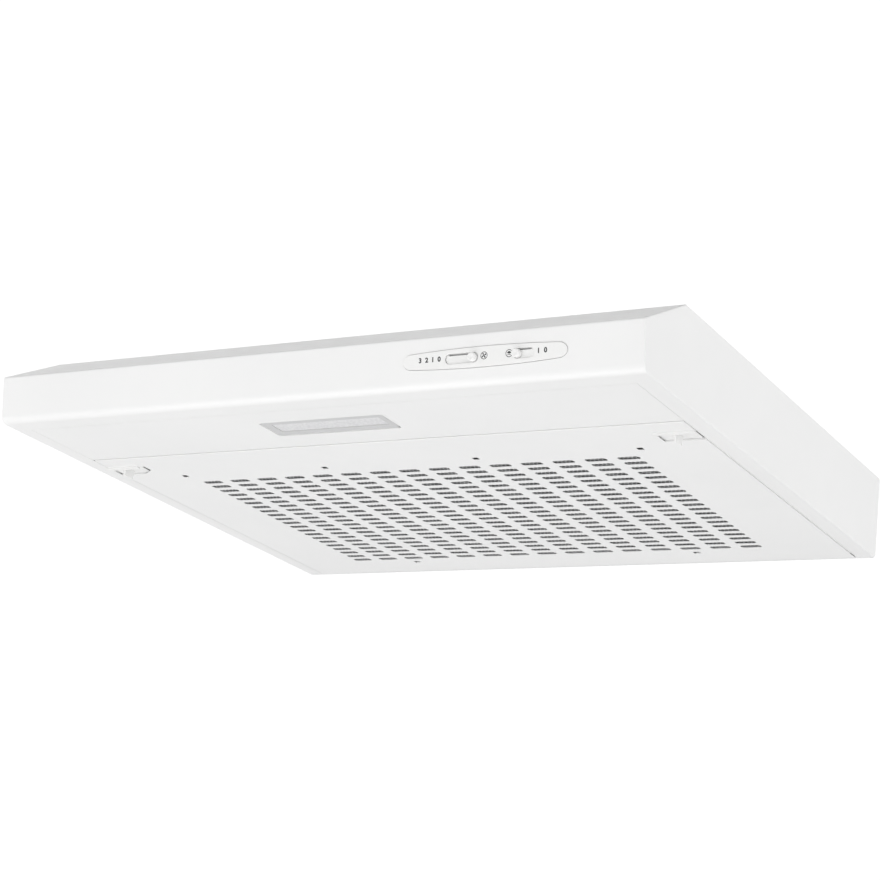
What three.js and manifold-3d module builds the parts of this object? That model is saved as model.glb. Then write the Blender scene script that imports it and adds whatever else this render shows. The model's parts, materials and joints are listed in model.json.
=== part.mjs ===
// Slim under cabinet range hood, 600 mm wide: sheet metal canopy, lamp panel, hinged grille panel
// with its grease filter and latches, slide switches, blower with its motor, and duct collar.
//
// Millimetres, +X to the right seen from the front, +Y back towards the wall, +Z up.
// Every piece is drawn with y counted from the front face's top edge and z from the underside of
// the rim. The hood group then moves them all, so that the origin is the centre of the flat top.

import * as THREE from 'three';
import { mergeVertices } from 'three/addons/utils/BufferGeometryUtils.js';
import Module from 'manifold-3d';

const wasm = await Module();
wasm.setup();

// ---------------------------------------------------------------- driving dimensions

const WIDTH = 600;
const DEPTH = 488;
const HEIGHT = 74;
const SHEET = 1;
const GAP = 0.3;
const HALF = WIDTH / 2;

const FRONT_TOP_Z = 38.4;      // where the front face turns into the slope
const FRONT_SETBACK = 7.3;     // the foot of the front face is this far behind its top
const SLOPE_END_Y = 64.7;      // where the slope meets the flat top
const FOOT_BEND = 7;
const TOP_BEND = 3;
const RIM = 16;                // width of the side rims of the underside
const FRONT_RIM_Y = 28.4;
const REAR_RIM_Y = 482.6;
const TOP_RIM = 14;

const PANEL_SPLIT_Y = 111.3;   // joint between the lamp panel and the grille panel
const GRILLE_DROP = 1;         // the grille panel hangs this much lower than the rim
const GRILLE_REAR_Y = 480.6;
const PANEL_SIDE = HALF - RIM - GAP;
const HINGE_Y = 476;
const HINGE_Z = 4;
const PIN_R = 1.5;
const EYE_R = 3.2;
const EAR_X = 253;

const SLOT = { columns: 15, rows: 21, pitchX: 29.2, pitchY: 12.55, firstY: 184, length: 19.4, width: 7.8 };
const CLIP_HOLE = { half: 3.2, near: 1.6, far: 2 };
const CLIP_FRONT = { y: 166, x: [-222, -74, 74, 222] };
const CLIP_REAR = { y: 450, x: [-148, 148] };
const FILTER = { x: 234, front: 171.5, rear: 444.5, z0: 0.35, z1: 3.2 };

const LENS = { x: -6.5, y: 68.4, length: 117.4, width: 32.4, corner: 2.5, low: 0.7, thick: 2, pocket: 0.7 };
const BULB = { y: LENS.y, z: 19, x0: -58, x1: 30, r: 11 };
const REFLECTOR = { x0: -74, x1: 42, y0: 46, y1: 91, z0: 3.2, z1: 36, wall: 0.8, flange: 6, slant: 6 };

const BEZEL = {
  x: 168.9, s: 21, halfLength: 69.6, halfHeight: 7.7, endHalfHeight: 5.6, endX: 64.2, proud: 0.7,
};
const FAN_SLOT = { x: 150.1, length: 28.2, width: 7.7, knobX: 160.3 };
const LIGHT_SLOT = { x: 202.4, length: 17.8, width: 7.5, knobX: 197.3 };
const TRAY_DEPTH = 0.5;        // each slot is a tray this far behind the sheet's face
const SLIT = { s: 2.6, width: 1.4, end: 2 };    // the stem's slit, above the tray's middle
const STEM = { halfLength: 1.4, halfHeight: 0.4 };
const KNOB_R = 3.4;
const KNOB_PROUD = 4.6;

// The left and right latches are alike but for where their window and face plate end inboard.
const LATCH = {
  front: 132.8, rear: 152, opening: 241.6, inner: 248.8, fin: 266, bolt: 287.3,
  left: { window: 243.4, plate: 248.2 }, right: { window: 248.4, plate: 246 },
};
const LATCH_LIP = { y: 129.6, outer: 283.6, low: -2.5, high: -1.3 };
const LATCH_PLATE = { low: 0.4, high: 1.6 };
const FIN = [[133.3, 1], [147, 1], [146.2, -7.3], [145.4, -7.6], [135.4, -7.6], [134.6, -7.3]];
const GUIDE = {
  inner: 230, outer: PANEL_SIDE - SHEET - GAP, front: 126, rear: 159, z0: 0.3, floor: 2.5, top: 8.4,
};
const SPRING = { x0: 234.5, x1: 248.5, y: 142.4, z: 5.6, r: 2.2, wire: 0.45, turns: 5 };

const FAN = { x: -80, y: 245, inlet: 62, bladeOuter: 75, bladeInner: 63, blades: 26 };
const SCROLL = { tongue: 82, widest: 142, wall: 2, floor: 14, split: 42, top: 69.5, skin: 1.5 };
const DUCT = { x: 0, y: 405, half: 62 };
const COLLAR = { outer: 60, inner: 58, foot: 60, rise: 38, clearance: 0.9, flange: 6 };
const FLAP = {
  r: 56.2, thick: 1.2, z: 66, offset: 3, barrel: 1.8, barrelHalf: 52.5, pivot: 1.2, pivotHalf: 59.4,
};
const MOTOR = { z0: 36, z1: 67.7, r: 36, coreZ0: 47, coreZ1: 58, bore: 20, wall: 2, bearing: 8, shaft: 3 };

const TAB = { angles: [135, 225, 315], r: 8, hole: 2.1 };    // screw tabs round the blower housing
const SCREW_R = 1.8;
const CABINET_HOLES = { x: [-240, 240], y: [110, 440], r: 3 };
const WALL_HOLES = { x: [-200, 200], z: 52, r: 4 };
const GLAND = { x: 180, y: 420, hole: 8, bore: 4.2 };
const TERMINAL = { x0: 150, x1: 215, y0: 300, y1: 345, z0: 48, z1: 72, wall: 1.5 };
const CAPACITOR = { x0: 228, x1: 264, y0: 300, y1: 318, z0: 44, z1: 72 };
const LEAD_EXIT = { x: FAN.x + 30, y: FAN.y + 10, r: 2.4 };

const LEAN = Math.atan2(FRONT_SETBACK, FRONT_TOP_Z);
const ORIGIN_Y = (SLOPE_END_Y + DEPTH) / 2;

// ---------------------------------------------------------------- finishes

const FINISH = {
  whitePaint: { color: 0xf2f2f1, roughness: 0.42, metalness: 0.0 },
  whitePlastic: { color: 0xf1f1ef, roughness: 0.38, metalness: 0.0 },
  frosted: { color: 0xcfd0d0, roughness: 0.55, metalness: 0.0 },
  zinc: { color: 0xb9bcc0, roughness: 0.38, metalness: 0.9 },
  steel: { color: 0x9a9da1, roughness: 0.34, metalness: 1.0 },
  aluminium: { color: 0xc4c6c8, roughness: 0.36, metalness: 1.0 },
  copper: { color: 0xa9592c, roughness: 0.4, metalness: 0.9 },
  brass: { color: 0xc2a25a, roughness: 0.35, metalness: 1.0 },
  grayPlastic: { color: 0x8c8f92, roughness: 0.55, metalness: 0.0 },
  blackPlastic: { color: 0x26282a, roughness: 0.55, metalness: 0.0 },
  rubber: { color: 0x1d1e1f, roughness: 0.8, metalness: 0.0 },
  glass: { color: 0xf4f1e8, roughness: 0.25, metalness: 0.0 },
};

// ---------------------------------------------------------------- geometry helpers

function signedVolume(geometry) {
  const p = geometry.attributes.position;
  const index = geometry.index.array;
  const [a, b, c] = [new THREE.Vector3(), new THREE.Vector3(), new THREE.Vector3()];
  let sum = 0;
  for (let i = 0; i < index.length; i += 3) {
    a.fromBufferAttribute(p, index[i]);
    b.fromBufferAttribute(p, index[i + 1]);
    c.fromBufferAttribute(p, index[i + 2]);
    sum += a.dot(b.cross(c));
  }
  return sum;
}

// One closed surface with shared vertices, no collapsed triangles, and faces that point out.
function closed(geometry) {
  const bare = geometry.clone();
  bare.deleteAttribute('normal');
  bare.deleteAttribute('uv');
  const merged = mergeVertices(bare, 1e-4);
  const kept = [];
  const index = merged.index.array;
  for (let i = 0; i < index.length; i += 3) {
    const [a, b, c] = [index[i], index[i + 1], index[i + 2]];
    if (a !== b && b !== c && c !== a) kept.push(a, b, c);
  }
  merged.setIndex(kept);
  if (signedVolume(merged) < 0) {
    for (let i = 0; i < kept.length; i += 3) [kept[i + 1], kept[i + 2]] = [kept[i + 2], kept[i + 1]];
    merged.setIndex(kept);
  }
  return merged;
}

function toManifold(geometry) {
  const g = closed(geometry);
  const vertProperties = new Float32Array(g.attributes.position.array);
  const triVerts = new Uint32Array(g.index.array);
  return new wasm.Manifold(new wasm.Mesh({ numProp: 3, vertProperties, triVerts }));
}

function toGeometry(manifold) {
  const { vertProperties, triVerts } = manifold.getMesh();
  const g = new THREE.BufferGeometry();
  g.setAttribute('position', new THREE.BufferAttribute(new Float32Array(vertProperties), 3));
  g.setIndex([...triVerts]);
  return g;
}

function join(...pieces) {
  return toGeometry(pieces.map(toManifold).reduce((sum, piece) => sum.add(piece)));
}

function cut(piece, ...tools) {
  return toGeometry(tools.map(toManifold).reduce((sum, tool) => sum.subtract(tool), toManifold(piece)));
}

function box(x0, x1, y0, y1, z0, z1) {
  const g = new THREE.BoxGeometry(x1 - x0, y1 - y0, z1 - z0);
  return g.translate((x0 + x1) / 2, (y0 + y1) / 2, (z0 + z1) / 2);
}

// A shape drawn in x and y, raised from z0 to z1.
function prism(shape, z0, z1, curveSegments = 6) {
  const g = new THREE.ExtrudeGeometry(shape, { depth: z1 - z0, bevelEnabled: false, curveSegments });
  return g.translate(0, 0, z0);
}

// A shape drawn in y and z, run along x from x0 to x1.
function runAlongX(shape, x0, x1, curveSegments = 6) {
  const turn = new THREE.Matrix4().makeBasis(
    new THREE.Vector3(0, 1, 0), new THREE.Vector3(0, 0, 1), new THREE.Vector3(1, 0, 0));
  return prism(shape, x0, x1, curveSegments).applyMatrix4(turn);
}

// A closed profile of [radius, height] pairs, turned about a vertical axis at x, y.
function turned(profile, x, y, segments = 32) {
  const points = profile.map(([r, z]) => new THREE.Vector2(r, z));
  const g = new THREE.LatheGeometry([...points, points[0].clone()], segments);
  return closed(g.rotateX(Math.PI / 2).translate(x, y, 0));
}

function ring(inner, outer, z0, z1, x, y, segments = 32) {
  return turned([[inner, z0], [outer, z0], [outer, z1], [inner, z1]], x, y, segments);
}

function rod(r, z0, z1, x, y, segments = 16) {
  return new THREE.CylinderGeometry(r, r, z1 - z0, segments).rotateX(Math.PI / 2)
    .translate(x, y, (z0 + z1) / 2);
}

function rodAlongX(r, x0, x1, y, z, segments = 16) {
  return new THREE.CylinderGeometry(r, r, x1 - x0, segments).rotateZ(Math.PI / 2)
    .translate((x0 + x1) / 2, y, z);
}

// A short rod along Y, for a hole through a wall that stands at y.
function rodAlongY(r, x, y, z, segments = 12) {
  return rod(r, -4, 4, 0, 0, segments).rotateX(Math.PI / 2).translate(x, y, z);
}

// A profile of [radius, x] pairs turned about an axis along X at y, z.
function turnedAlongX(profile, y, z, segments = 24) {
  return closed(turned(profile, 0, 0, segments).rotateY(Math.PI / 2).translate(0, y, z));
}

// A curve that is stepped by its points, not by its length, so a long straight costs few steps.
class Route extends THREE.CatmullRomCurve3 {
  getPointAt(t, target) {
    return this.getPoint(t, target);
  }

  getTangentAt(t, target) {
    return this.getTangent(t, target);
  }

  getSpacedPoints(steps) {
    return this.getPoints(steps);
  }
}

function circleShape(r, sides) {
  const angles = Array.from({ length: sides }, (_, k) => (2 * Math.PI * k) / sides);
  return polygon(angles.map((angle) => [r * Math.cos(angle), r * Math.sin(angle)]));
}

function tube(points, r, stepsPerSpan, sides = 6) {
  const path = new Route(points.map((p) => new THREE.Vector3(...p)), false, 'centripetal');
  const steps = stepsPerSpan * (points.length - 1);
  return new THREE.ExtrudeGeometry(circleShape(r, sides), { extrudePath: path, steps });
}

function roundedRect(x, y, length, width, corner) {
  const [l, w] = [length / 2, width / 2];
  const s = new THREE.Shape();
  s.moveTo(x - l + corner, y - w);
  s.lineTo(x + l - corner, y - w);
  s.absarc(x + l - corner, y - w + corner, corner, -Math.PI / 2, 0);
  s.lineTo(x + l, y + w - corner);
  s.absarc(x + l - corner, y + w - corner, corner, 0, Math.PI / 2);
  s.lineTo(x - l + corner, y + w);
  s.absarc(x - l + corner, y + w - corner, corner, Math.PI / 2, Math.PI);
  s.lineTo(x - l, y - w + corner);
  s.absarc(x - l + corner, y - w + corner, corner, Math.PI, Math.PI * 1.5);
  return s;
}

function polygon(points) {
  return new THREE.Shape(points.map(([a, b]) => new THREE.Vector2(a, b)));
}

// The points of a line through corners [a, b, bendRadius], each bend an arc of short chords.
function bentLine(corners, chords = 5) {
  const out = [];
  corners.forEach(([a, b, r = 0], i) => {
    const here = new THREE.Vector2(a, b);
    if (r <= 0 || i === 0 || i === corners.length - 1) {
      out.push(here);
      return;
    }
    const back = new THREE.Vector2(...corners[i - 1].slice(0, 2)).sub(here).normalize();
    const on = new THREE.Vector2(...corners[i + 1].slice(0, 2)).sub(here).normalize();
    const half = Math.acos(THREE.MathUtils.clamp(back.dot(on), -1, 1)) / 2;
    const centre = here.clone().add(back.clone().add(on).normalize().multiplyScalar(r / Math.sin(half)));
    const from = here.clone().addScaledVector(back, r / Math.tan(half)).sub(centre);
    const sweep = Math.sign(back.cross(on)) * -(Math.PI - 2 * half);
    for (let k = 0; k <= chords; k += 1) {
      out.push(centre.clone().add(from.clone().rotateAround(new THREE.Vector2(), (sweep * k) / chords)));
    }
  });
  return out;
}

// The section of a bent sheet: the corners of its outer face, and its thickness to the left of it.
function sheetSection(corners, thickness = SHEET) {
  const sides = corners.slice(1).map(([a, b], i) => {
    const d = new THREE.Vector2(a - corners[i][0], b - corners[i][1]).normalize();
    return new THREE.Vector2(-d.y, d.x);
  });
  const inner = corners.map(([a, b, r = 0], i) => {
    const n1 = sides[Math.max(i - 1, 0)];
    const n2 = sides[Math.min(i, sides.length - 1)];
    const n = n1.clone().add(n2).multiplyScalar(thickness / (1 + n1.dot(n2)));
    const turn = Math.sign(n1.cross(n2));
    return [a + n.x, b + n.y, r > 0 ? Math.max(r - turn * thickness, 0.2) : 0];
  });
  return new THREE.Shape([...bentLine(corners), ...bentLine(inner).reverse()]);
}

function mirrored(geometry, side) {
  return side > 0 ? geometry : closed(geometry.clone().scale(-1, 1, 1));
}

const hood = new THREE.Group();
hood.position.set(0, -ORIGIN_Y, -HEIGHT);

// Pieces on the leaning front face: x along it, y into the hood, z up the face from its foot.
const face = new THREE.Group();
face.position.set(0, FRONT_SETBACK, 0);
face.rotation.x = LEAN;
hood.add(face);

function piece(name, geometry, finish, parent = hood) {
  const mesh = new THREE.Mesh(closed(geometry), new THREE.MeshStandardMaterial(FINISH[finish]));
  mesh.name = name;
  parent.add(mesh);
}

// ---------------------------------------------------------------- canopy

const FRONT_CORNERS = [
  [FRONT_RIM_Y, 0], [FRONT_SETBACK, 0, FOOT_BEND], [0, FRONT_TOP_Z, TOP_BEND],
  [SLOPE_END_Y, HEIGHT, TOP_BEND],
  [SLOPE_END_Y + TOP_RIM, HEIGHT],
];

function bezelShape(grow = 0) {
  const h = BEZEL.halfHeight + grow;
  const e = BEZEL.endHalfHeight + grow;
  const w = BEZEL.endX + (BEZEL.halfLength - BEZEL.endX) / 0.75 + grow;
  const c = e * 0.62;
  const { x: x0, s: s0, endX } = BEZEL;
  const shape = new THREE.Shape();
  shape.moveTo(x0 - endX, s0 - e);
  shape.quadraticCurveTo(x0, s0 - 2 * h + e, x0 + endX, s0 - e);
  shape.bezierCurveTo(x0 + w, s0 - c, x0 + w, s0 + c, x0 + endX, s0 + e);
  shape.quadraticCurveTo(x0, s0 + 2 * h - e, x0 - endX, s0 + e);
  shape.bezierCurveTo(x0 - w, s0 + c, x0 - w, s0 - c, x0 - endX, s0 - e);
  return shape;
}

// A shape drawn on the front face in x and up the face, run inwards from depth d0 to d1.
function onFace(shape, d0, d1, curveSegments = 8) {
  return prism(shape, -d1, -d0, curveSegments).rotateX(Math.PI / 2);
}

function canopyShell() {
  const skirt = runAlongX(sheetSection([...FRONT_CORNERS].reverse()), -HALF, HALF);
  const rest = [[DEPTH, HEIGHT, 2], [DEPTH, 0, 4], [FRONT_RIM_Y, 0]];
  const outline = bentLine([...FRONT_CORNERS.slice(1, 4), ...rest]);
  const foot = bentLine(FRONT_CORNERS.slice(0, 3)).slice(1, -1);
  const sideShape = new THREE.Shape([...foot, ...outline.slice(1)]);
  const sides = [-1, 1].flatMap((side) => {
    const plate = runAlongX(sideShape, HALF - SHEET, HALF);
    const inner = HALF - SHEET / 2;
    const underRim = box(HALF - RIM, inner, FRONT_RIM_Y - 8, REAR_RIM_Y - GAP, 0, SHEET);
    const topRim = box(HALF - TOP_RIM, inner, SLOPE_END_Y + 8, DEPTH - SHEET - GAP, HEIGHT - SHEET, HEIGHT);
    return [plate, underRim, topRim].map((g) => mirrored(g, side));
  });
  const window = onFace(bezelShape(0.35), -3, 4).rotateX(LEAN).translate(0, FRONT_SETBACK, 0);
  return cut(join(skirt, ...sides), window);
}

// The volute's radius, grown outwards by w, and the angle of its tongue where the spiral begins.
function tongueAngle(w = 0) {
  return Math.acos((DUCT.x - DUCT.half - w - FAN.x) / (SCROLL.tongue + w));
}

function spiralRadius(angle, w = 0) {
  const begin = tongueAngle(w);
  return SCROLL.tongue + ((SCROLL.widest - SCROLL.tongue) * (angle - begin)) / (2 * Math.PI - begin) + w;
}

function tabCentres() {
  const reach = SCROLL.wall + TAB.r - 2;
  const around = TAB.angles.map((degrees) => {
    const angle = THREE.MathUtils.degToRad(degrees);
    const r = spiralRadius(angle) + reach;
    return [FAN.x + r * Math.cos(angle), FAN.y + r * Math.sin(angle)];
  });
  return [...around, [DUCT.x + DUCT.half + reach, DUCT.y - 15]];
}

function topPanel() {
  const inset = HALF - TOP_RIM - GAP;
  const front = SLOPE_END_Y + TOP_RIM + GAP;
  const rear = DEPTH - SHEET - GAP;
  const ledge = 12;
  const low = HEIGHT - 2 * SHEET - GAP;
  const lid = box(-inset, inset, front, rear, low, HEIGHT);
  const tuck = box(-inset - ledge, inset + ledge, front - ledge + 2, rear, low, HEIGHT - SHEET - GAP);
  const hollow = box(-inset + 5, inset - 5, front + 5, rear - 5, HEIGHT - 3 * SHEET, HEIGHT - SHEET);
  const [z0, z1] = [HEIGHT - 10, HEIGHT + 10];
  const ductHole = rod(COLLAR.outer + COLLAR.clearance, z0, z1, DUCT.x, DUCT.y, 32);
  const glandHole = rod(GLAND.hole, z0, z1, GLAND.x, GLAND.y, 20);
  const screwHoles = tabCentres().map(([x, y]) => rod(TAB.hole, z0, z1, x, y, 12));
  const cabinetHoles = CABINET_HOLES.x.flatMap((x) =>
    CABINET_HOLES.y.map((y) => rod(CABINET_HOLES.r, z0, z1, x, y, 16)));
  return cut(join(lid, tuck), hollow, ductHole, glandHole, ...screwHoles, ...cabinetHoles);
}

function backPanel() {
  const side = HALF - SHEET - GAP;
  const fold = sheetSection([[REAR_RIM_Y, 0], [DEPTH, 0, 2], [DEPTH, HEIGHT]]);
  const plate = runAlongX(fold, -side, side);
  const flanges = [-1, 1].map((s) => mirrored(
    box(side - SHEET, side, DEPTH - 14, DEPTH - SHEET / 2, SHEET + GAP, HEIGHT - 2 * SHEET - 2 * GAP), s));
  const wallHoles = WALL_HOLES.x.map((x) => rodAlongY(WALL_HOLES.r, x, DEPTH, WALL_HOLES.z, 16));
  return cut(join(plate, ...flanges), ...wallHoles);
}

piece('canopy_shell', canopyShell(), 'whitePaint');
piece('top_panel', topPanel(), 'whitePaint');
piece('back_panel', backPanel(), 'whitePaint');

// ---------------------------------------------------------------- lamp panel and lamp

function lampPanel() {
  const front = FRONT_RIM_Y + GAP;
  const section = sheetSection([
    [front - 10, SHEET + GAP], [front + 1, SHEET + GAP, 0], [front + 1.3, 0, 0],
    [PANEL_SPLIT_Y, 0, 1.5], [PANEL_SPLIT_Y, 14],
  ]);
  const pan = runAlongX(section, -PANEL_SIDE, PANEL_SIDE);
  const flanges = [-1, 1].map((s) => mirrored(
    box(PANEL_SIDE - SHEET, PANEL_SIDE, front + 3, PANEL_SPLIT_Y - SHEET / 2, SHEET / 2, 10), s));
  const opening = roundedRect(LENS.x, LENS.y, LENS.length + 2 * GAP, LENS.width + 2 * GAP, LENS.corner);
  const window = prism(opening, -4, 4, 4);
  return cut(join(pan, ...flanges), window);
}

// The lens sits just inside the panel, with a shallow pocket in its underside.
function lampLens() {
  const { x, y, low, length, width } = LENS;
  const plate = prism(roundedRect(x, y, length, width, LENS.corner), low, low + LENS.thick, 4);
  const pocket = prism(roundedRect(x, y, length - 16, width - 11, 2), low - 1, low + LENS.pocket, 3);
  const clips = [-1, 1].map((s) => {
    const end = x + s * (length / 2 - 1);
    return box(end - 4, end + 4, y - 6, y + 6, SHEET + GAP, 2.9);
  });
  return cut(join(plate, ...clips), pocket);
}

// An open trough with sloping sides and a narrow flange along each long edge.
function lampReflector() {
  const r = REFLECTOR;
  const section = (inset) => polygon([
    [r.y0 + inset, r.z0 - inset], [r.y1 - inset, r.z0 - inset],
    [r.y1 - r.slant - inset, r.z1 - inset], [r.y0 + r.slant + inset, r.z1 - inset],
  ]);
  const outer = runAlongX(section(0), r.x0, r.x1);
  const inner = runAlongX(section(r.wall), r.x0 + r.wall, r.x1 - r.wall);
  const mouth = rodAlongX(14.4, r.x1 - 5, r.x1 + 5, BULB.y, BULB.z, 24);
  const flanges = [
    box(r.x0, r.x1, r.y0 - r.flange, r.y0 + r.wall / 2, r.z0, r.z0 + r.wall),
    box(r.x0, r.x1, r.y1 - r.wall / 2, r.y1 + r.flange, r.z0, r.z0 + r.wall),
  ];
  return cut(join(outer, ...flanges), inner, mouth);
}

function lampHolder() {
  const x = REFLECTOR.x1 - 4;
  const cup = [[8.3, x], [14, x], [14, x + 30], [4, x + 30], [4, x + 26], [8.3, x + 26]];
  return turnedAlongX(cup, BULB.y, BULB.z);
}

function bulbGlass() {
  const profile = [[0, BULB.x0]];
  for (let k = 1; k <= 5; k += 1) {
    const a = (k * Math.PI) / 10;
    profile.push([BULB.r * Math.sin(a), BULB.x0 + BULB.r * (1 - Math.cos(a))]);
  }
  profile.push([BULB.r, BULB.x1 - 10], [7, BULB.x1], [0, BULB.x1]);
  return turnedAlongX(profile, BULB.y, BULB.z, 20);
}

function bulbCap() {
  const x = BULB.x1 + GAP;
  const cap = [[0, x], [7.6, x], [7.6, x + 26], [3.4, x + 30], [3.4, x + 32], [0, x + 32]];
  return turnedAlongX(cap, BULB.y, BULB.z, 20);
}

piece('lamp_panel', lampPanel(), 'whitePaint');
piece('lamp_lens', lampLens(), 'frosted');
piece('lamp_reflector', lampReflector(), 'aluminium');
piece('lamp_holder', lampHolder(), 'whitePlastic');
piece('bulb_glass', bulbGlass(), 'glass');
piece('bulb_cap', bulbCap(), 'brass');

// ---------------------------------------------------------------- switches on the front face

const BEZEL_BACK = SHEET + 1.5;
const SLIDER_BACK = BEZEL_BACK + GAP;
const SHUTTER = 1.2;
const SWITCH_FRONT = SLIDER_BACK + SHUTTER + GAP;

function controlBezel() {
  const plug = onFace(bezelShape(), -BEZEL.proud, SHEET + 0.5);
  const rim = roundedRect(BEZEL.x, BEZEL.s, 2 * BEZEL.halfLength + 6, 2 * BEZEL.halfHeight + 4, 3);
  const flange = onFace(rim, SHEET + GAP, BEZEL_BACK, 3);
  const slots = [FAN_SLOT, LIGHT_SLOT].flatMap(({ x, length, width }) => [
    onFace(roundedRect(x, BEZEL.s, length, width, width / 2 - 0.01), -3, TRAY_DEPTH, 4),
    onFace(roundedRect(x, BEZEL.s + SLIT.s, length - 2 * SLIT.end, SLIT.width, 0.3), -3, 6, 1),
  ]);
  return cut(join(plug, flange), ...slots);
}

// A round knob in its tray, on a stem through the slit to a shutter plate behind the bezel, with a
// peg from there into its switch.
function slider(knobX, left, right) {
  const circle = (r) => new THREE.Shape().absarc(knobX, BEZEL.s, r, 0, Math.PI * 2);
  const knob = onFace(circle(KNOB_R), -KNOB_PROUD, TRAY_DEPTH - GAP, 12);
  const { halfLength, halfHeight } = STEM;
  const stemSide = roundedRect(knobX, BEZEL.s + SLIT.s, 2 * halfLength, 2 * halfHeight, 0.1);
  const stem = onFace(stemSide, -1, SLIDER_BACK + 0.5, 1);
  const strip = roundedRect(knobX + (right - left) / 2, BEZEL.s, left + right, 11, 1);
  const shutter = onFace(strip, SLIDER_BACK, SLIDER_BACK + SHUTTER, 2);
  const peg = onFace(circle(1.5), SLIDER_BACK + 0.6, SWITCH_FRONT + 2.5, 6);
  return join(knob, stem, shutter, peg);
}

function slideSwitch(x0, x1, depth, peg0, peg1) {
  const body = box(x0, x1, SWITCH_FRONT, SWITCH_FRONT + depth, BEZEL.s - 7, BEZEL.s + 7);
  const slot = box(peg0, peg1, SWITCH_FRONT - 1, SWITCH_FRONT + 3.2, BEZEL.s - 2, BEZEL.s + 2);
  const terminals = [0.25, 0.5, 0.75].map((t) => {
    const x = x0 + t * (x1 - x0);
    const back = SWITCH_FRONT + depth;
    return box(x - 2, x + 2, back - 1, back + 6, BEZEL.s - 0.5, BEZEL.s + 0.5);
  });
  return cut(join(body, ...terminals), slot);
}

const SWITCH_DEPTH = 14;

function switchBracket() {
  const back = SWITCH_FRONT + SWITCH_DEPTH + GAP;
  const [x0, x1] = [BEZEL.x - 79, BEZEL.x + 79];
  const [low, high] = [BEZEL.s - 8, BEZEL.s + 8];
  const plate = box(x0, x1, back, back + 1.2, low, high);
  const front = SHEET + GAP;
  const ears = [
    box(x0, x0 + 1.2, front, back + 0.5, low, high),
    box(x1 - 1.2, x1, front, back + 0.5, low, high),
  ];
  const feet = [
    box(x0 - 10, x0 + 0.6, front, front + 1.2, low, high),
    box(x1 - 0.6, x1 + 10, front, front + 1.2, low, high),
  ];
  const spans = [[FAN_SLOT.x - 18, FAN_SLOT.x + 16], [LIGHT_SLOT.x - 10, LIGHT_SLOT.x + 10]];
  const openings = spans.map(([a, b]) => box(a, b, back - 1, back + 3, BEZEL.s - 2.5, BEZEL.s + 2.5));
  return cut(join(plate, ...ears, ...feet), ...openings);
}

piece('control_bezel', controlBezel(), 'whitePlastic', face);
piece('fan_slider', slider(FAN_SLOT.knobX, 25, 14), 'whitePlastic', face);
piece('light_slider', slider(LIGHT_SLOT.knobX, 8, 15), 'whitePlastic', face);
piece('fan_switch', slideSwitch(FAN_SLOT.x - 22, FAN_SLOT.x + 20, SWITCH_DEPTH,
  FAN_SLOT.knobX - 23, FAN_SLOT.knobX + 3), 'blackPlastic', face);
piece('light_switch', slideSwitch(LIGHT_SLOT.x - 14, LIGHT_SLOT.x + 14, SWITCH_DEPTH,
  LIGHT_SLOT.knobX - 3, LIGHT_SLOT.knobX + 12), 'blackPlastic', face);
piece('switch_bracket', switchBracket(), 'zinc', face);

// ---------------------------------------------------------------- grille panel

// A lanced hook that stands over a clip hole and opens towards the filter.
function clipHook(x, y, towards) {
  const post = box(x - 3.5, x + 3.5, y - towards * 3.9 - 0.5, y - towards * 3.9 + 0.5, -0.5, 4.4);
  const [a, b] = [y - towards * 4.4, y + towards * 1.4].sort((p, q) => p - q);
  const top = box(x - 3.5, x + 3.5, a, b, 3.6, 4.6);
  return [post, top];
}

function slotCutters() {
  const cutters = [];
  for (let column = 0; column < SLOT.columns; column += 1) {
    for (let row = 0; row < SLOT.rows; row += 1) {
      const x = (column - (SLOT.columns - 1) / 2) * SLOT.pitchX;
      const y = SLOT.firstY + row * SLOT.pitchY;
      const [l, w] = [SLOT.length / 2, SLOT.width / 2];
      cutters.push(box(x - l, x + l, y - w, y + w, -3, 0.3));
    }
  }
  return cutters;
}

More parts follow.
